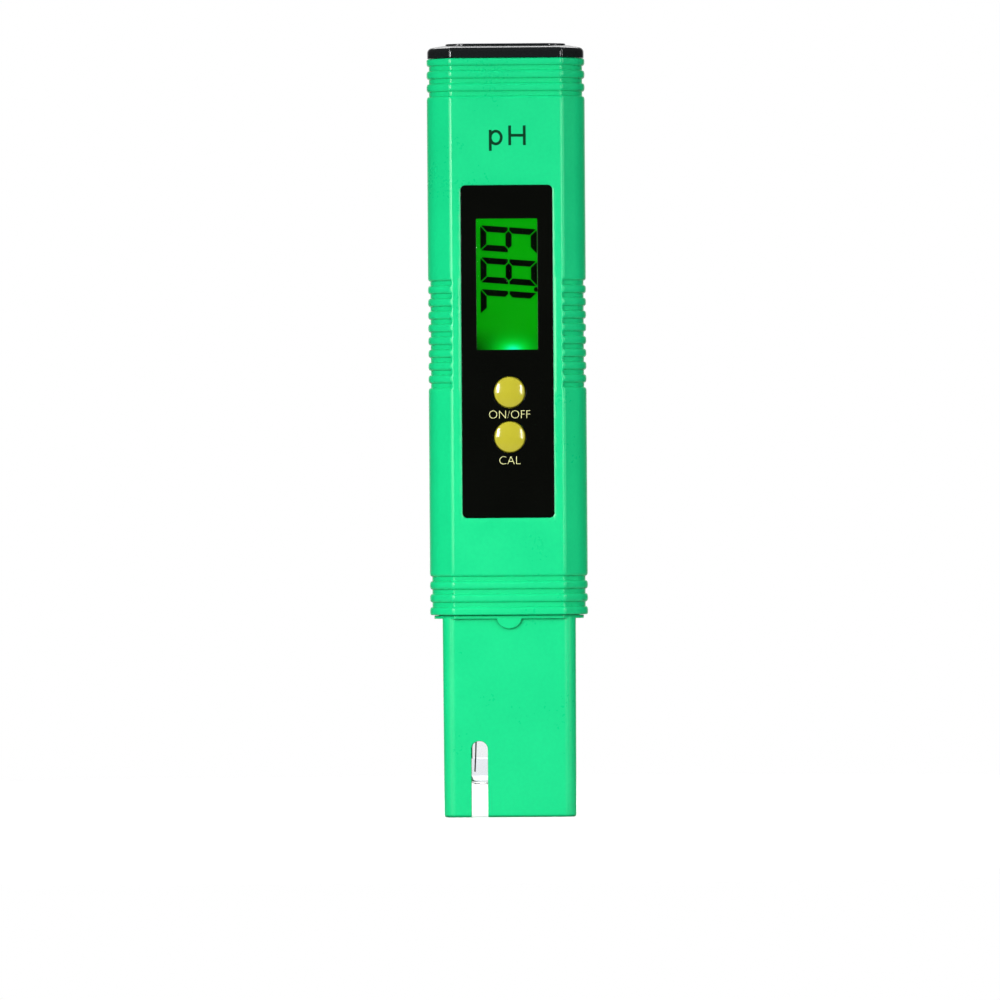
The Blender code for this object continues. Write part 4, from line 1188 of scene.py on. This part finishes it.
def build_housing():
    # shade paints the green darker in its grooves and corners: painted shade
    green = surface("green_abs", GREEN, 0.3, grain=0.7 * MM, relief=0.012 * MM, vary=0.05,
                    shade=0.26, Specular_IOR_Level=0.42)
    finish(build_sleeve(), green)
    finish(build_skirt(), green)
    black = surface("gloss_panel", (0.0012, 0.0016, 0.0009), 0.14, grain=0.3 * MM,
                    relief=0.0006 * MM, vary=0.15, Specular_IOR_Level=0.4)
    finish(build_panel(), black)
    finish(build_window(), glassy("clear_acrylic", (1.0, 1.0, 1.0), 1.2, 0.02))
    yellow = surface("yellow_keys", YELLOW, 0.11, relief=0.001 * MM, vary=0.03)
    finish(build_key("power"), yellow)
    finish(build_key("cal"), yellow)
    finish(build_display_glass(), display_material())
    digits = build_digits(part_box("lcd_front_glass")[0].y)
    paint(surface("display_ink", (0.0004, 0.003, 0.0003), 0.5, Specular_IOR_Level=0.02), digits)


def build_legends():
    pale = surface("legend_yellow", (0.92, 0.93, 0.42), 0.5, relief=0.001 * MM)
    dark = surface("legend_green", (0.002, 0.045, 0.016), 0.6, relief=0.001 * MM,
                   Specular_IOR_Level=0.05)
    power_x, power_z = key_center("power")
    cal_x, cal_z = key_center("cal")
    on_off = legend("legend_on_off", "ON/OFF", (power_x, power_z - ON_OFF_DROP), 7.8 * MM)
    cal = legend("legend_cal", "CAL", (cal_x, cal_z - CAL_DROP), 4.0 * MM)
    paint(pale, on_off, cal)
    paint(dark, *build_ph_mark())


def build_ph_mark():
    """The dark p and H on the front above the panel, drawn with one stroke width."""
    front = -HALF_DEPTH
    stroke = 0.53 * MM
    base = 127.85 * MM
    h_left, h_width, h_height = 0.45 * MM, 3.3 * MM, 3.75 * MM
    bar = base + h_height / 2
    h_shapes = [
        rectangle(h_left, base, h_left + stroke, base + h_height),
        rectangle(h_left + h_width - stroke, base, h_left + h_width, base + h_height),
        rectangle(h_left + stroke, bar - stroke / 2, h_left + h_width - stroke, bar + stroke / 2),
    ]
    p_left, bowl, x_height, drop = -3.25 * MM, 2.62 * MM, 2.95 * MM, 1.05 * MM
    letter_h = raised_shapes("mark_h", h_shapes, front, front - PRINT)
    stem = [rectangle(p_left, base - drop, p_left + stroke, base + x_height)]
    letter_p = raised_shapes("mark_p", stem, front, front - PRINT)
    letter_bowl = skin("mark_p_bowl", bowl_ring(p_left, base, bowl, x_height, stroke), loop=True)
    for piece in (letter_h, letter_p, letter_bowl):
        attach(piece, "housing")
    return letter_h, letter_p, letter_bowl


def rectangle(left, low, right, high):
    return [(left, low), (right, low), (right, high), (left, high)]


def bowl_ring(left, base, width, height, stroke):
    """The round of the p: a ring whose left side runs into the stem."""
    center = np.array((left + width / 2, base + height / 2))
    half = np.array((width / 2, height / 2))
    angles = np.linspace(0, math.tau, 49)[:-1]
    direction = np.column_stack((np.cos(angles), np.sin(angles)))
    outer = center + direction * half
    inner = center + direction * (half - stroke)
    back = -HALF_DEPTH
    front = back - PRINT - 0.002 * MM
    corners = (outer, back), (outer, front), (inner, front), (inner, back)
    return [lifted(flat, place, "Y") for flat, place in corners]


def build_drawer():
    black = surface("black_abs", (0.009, 0.0115, 0.012), 0.16, relief=0.002 * MM, vary=0.08)
    finish(build_cap(), black)
    finish(build_tray(), black)
    steel = metal("cell_steel", (0.3, 0.295, 0.28), 0.42)
    finish(build_cell("left"), steel)
    finish(build_cell("right"), steel)
    nickel = metal("link_nickel", (0.4, 0.37, 0.3), 0.36, stretch=(0.3, 1.0, 3.0))
    finish(build_link(), nickel)


def build_electrode():
    """The glass is given weaker refraction than it has, since the photo shows it in water."""
    finish(build_glass_tube(), glassy("glass", (0.95, 0.965, 0.97), 1.17, 0.02))
    paint(glassy("electrolyte", (0.95, 0.96, 0.995), 1.012, 0.02), build_electrolyte())
    finish(build_wire(), metal("wire_silver", (0.1, 0.085, 0.08), 0.5))


# ---- studio


CAMERA_DISTANCE = 2.1
CAMERA_HEIGHT = 60.38 * MM
CAMERA_X = -1.6 * MM
VIEW_WIDTH = 190.2 * MM
SENSOR = 36.0
ROLL = math.radians(0.39)
PEN_MIDDLE = 75 * MM
FRONT_AIM = 15 * MM


def build_camera():
    data = bpy.data.cameras.new("camera")
    data.sensor_width = SENSOR
    data.lens = SENSOR * CAMERA_DISTANCE / VIEW_WIDTH
    data.clip_start = 0.05
    data.clip_end = 30.0
    camera = new_object("camera", data)
    camera.location = (CAMERA_X, -HALF_DEPTH - CAMERA_DISTANCE, CAMERA_HEIGHT)
    turn = Matrix.Rotation(ROLL, 3, "Y") @ Matrix.Rotation(math.radians(90), 3, "X")
    camera.rotation_euler = turn.to_euler()
    bpy.context.scene.camera = camera


def softbox(name, azimuth, elevation, distance, size, power, aim=PEN_MIDDLE, spread=180):
    """A rectangular soft light aimed at the pen; azimuth 0 is in front of it, 90 to its right.

    It stands at a distance from the pen's middle, and aim is the height it is turned towards.
    """
    data = bpy.data.lights.new(name, "AREA")
    data.shape = "RECTANGLE"
    data.size, data.size_y = size
    data.energy = power
    data.spread = math.radians(spread)
    light = new_object(name, data)
    around, up = math.radians(azimuth), math.radians(elevation)
    offset = Vector((math.sin(around) * math.cos(up), -math.cos(around) * math.cos(up),
                     math.sin(up)))
    light.location = Vector((0.0, 0.0, PEN_MIDDLE)) + offset * distance
    towards = Vector((0.0, 0.0, aim)) - light.location
    light.rotation_euler = towards.to_track_quat("-Z", "Y").to_euler()


FLOOR_BOUNCE = (0.3, 0.3, 0.3)
FLOOR_LIFT = 0.44
FLOOR_RADIUS = 0.7
FLOOR_THICKNESS = 2 * MM
FLOOR_DROP = 0.02 * MM


def build_floor():
    """A pale round floor that fades into the backdrop well away from the pen.

    It throws back less light than it shows, as if it were shaded from the lamps. Through
    glass it is seen as it shows.
    """
    profile = [(AXIS_RADIUS, 0.0), (FLOOR_RADIUS / 2, 0.0), (FLOOR_RADIUS, 0.0)]
    profile += [(FLOOR_RADIUS, -FLOOR_THICKNESS), (AXIS_RADIUS, -FLOOR_THICKNESS)]
    floor = turned("floor", profile, (0.0, 0.0), steps=128)
    floor.location.z = -FLOOR_DROP
    material, tree, shader = new_material("floor")
    vector = coordinates(tree)
    away = tree.nodes.new("ShaderNodeVectorMath")
    away.operation = "LENGTH"
    tree.links.new(vector, away.inputs[0])
    cover = between(tree, away.outputs["Value"], 0.1, 0.32, 1.0, 0.0)
    pale = blend(tree, noise(tree, vector, 0.3), (0.89, 0.89, 0.9), (0.9, 0.9, 0.9))
    path = tree.nodes.new("ShaderNodeLightPath").outputs
    seen = calc(tree, "MAXIMUM", path["Is Camera Ray"], path["Is Transmission Ray"])
    shown = blend(tree, seen, FLOOR_BOUNCE, pale)
    lift = calc(tree, "MULTIPLY", seen, FLOOR_LIFT)
    feed(tree, shader, Base_Color=shown, Alpha=cover, Roughness=0.8, Specular_IOR_Level=0.1,
         Emission_Color=WHITE, Emission_Strength=lift)
    paint(material, floor)


def build_world():
    """A white backdrop; as a light it is bright straight behind the pen and overhead."""
    world = bpy.data.worlds.new("studio")
    bpy.context.scene.world = world
    world.use_nodes = True
    tree = world.node_tree
    source = tree.nodes.new("ShaderNodeTexCoord").outputs["Generated"]
    parts = new_node(tree, "ShaderNodeSeparateXYZ", Vector=source).outputs
    behind = between(tree, parts["Y"], 0.85, 0.965, 0.0, 1.0)
    above = between(tree, parts["Z"], 0.0, 1.0, 0.04, 0.15)
    glow = calc(tree, "MAXIMUM", behind, above)
    seen = tree.nodes.new("ShaderNodeLightPath").outputs["Is Camera Ray"]
    strength = calc(tree, "MAXIMUM", glow, seen)
    feed(tree, tree.nodes["Background"], Color=WHITE, Strength=strength)


def build_studio():
    build_camera()
    build_floor()
    build_world()
    softbox("key_left", -29.5, 11, 0.36, (0.036, 0.13), 0.25, aim=FRONT_AIM, spread=105)
    softbox("fill_right", 29.5, 7, 0.36, (0.024, 0.14), 0.112, aim=FRONT_AIM, spread=105)
    softbox("edge_left", -50, 22, 0.8, (0.05, 0.7), 2.5)
    softbox("edge_right", 64, 22, 0.8, (0.035, 0.7), 1.75)
    softbox("back", 180, 50, 0.9, (0.7, 0.5), 6.5)
    bpy.context.scene.view_settings.view_transform = "Standard"


build_studio()
build_housing()
build_legends()
build_drawer()
build_electrode()
finish_inner_parts()
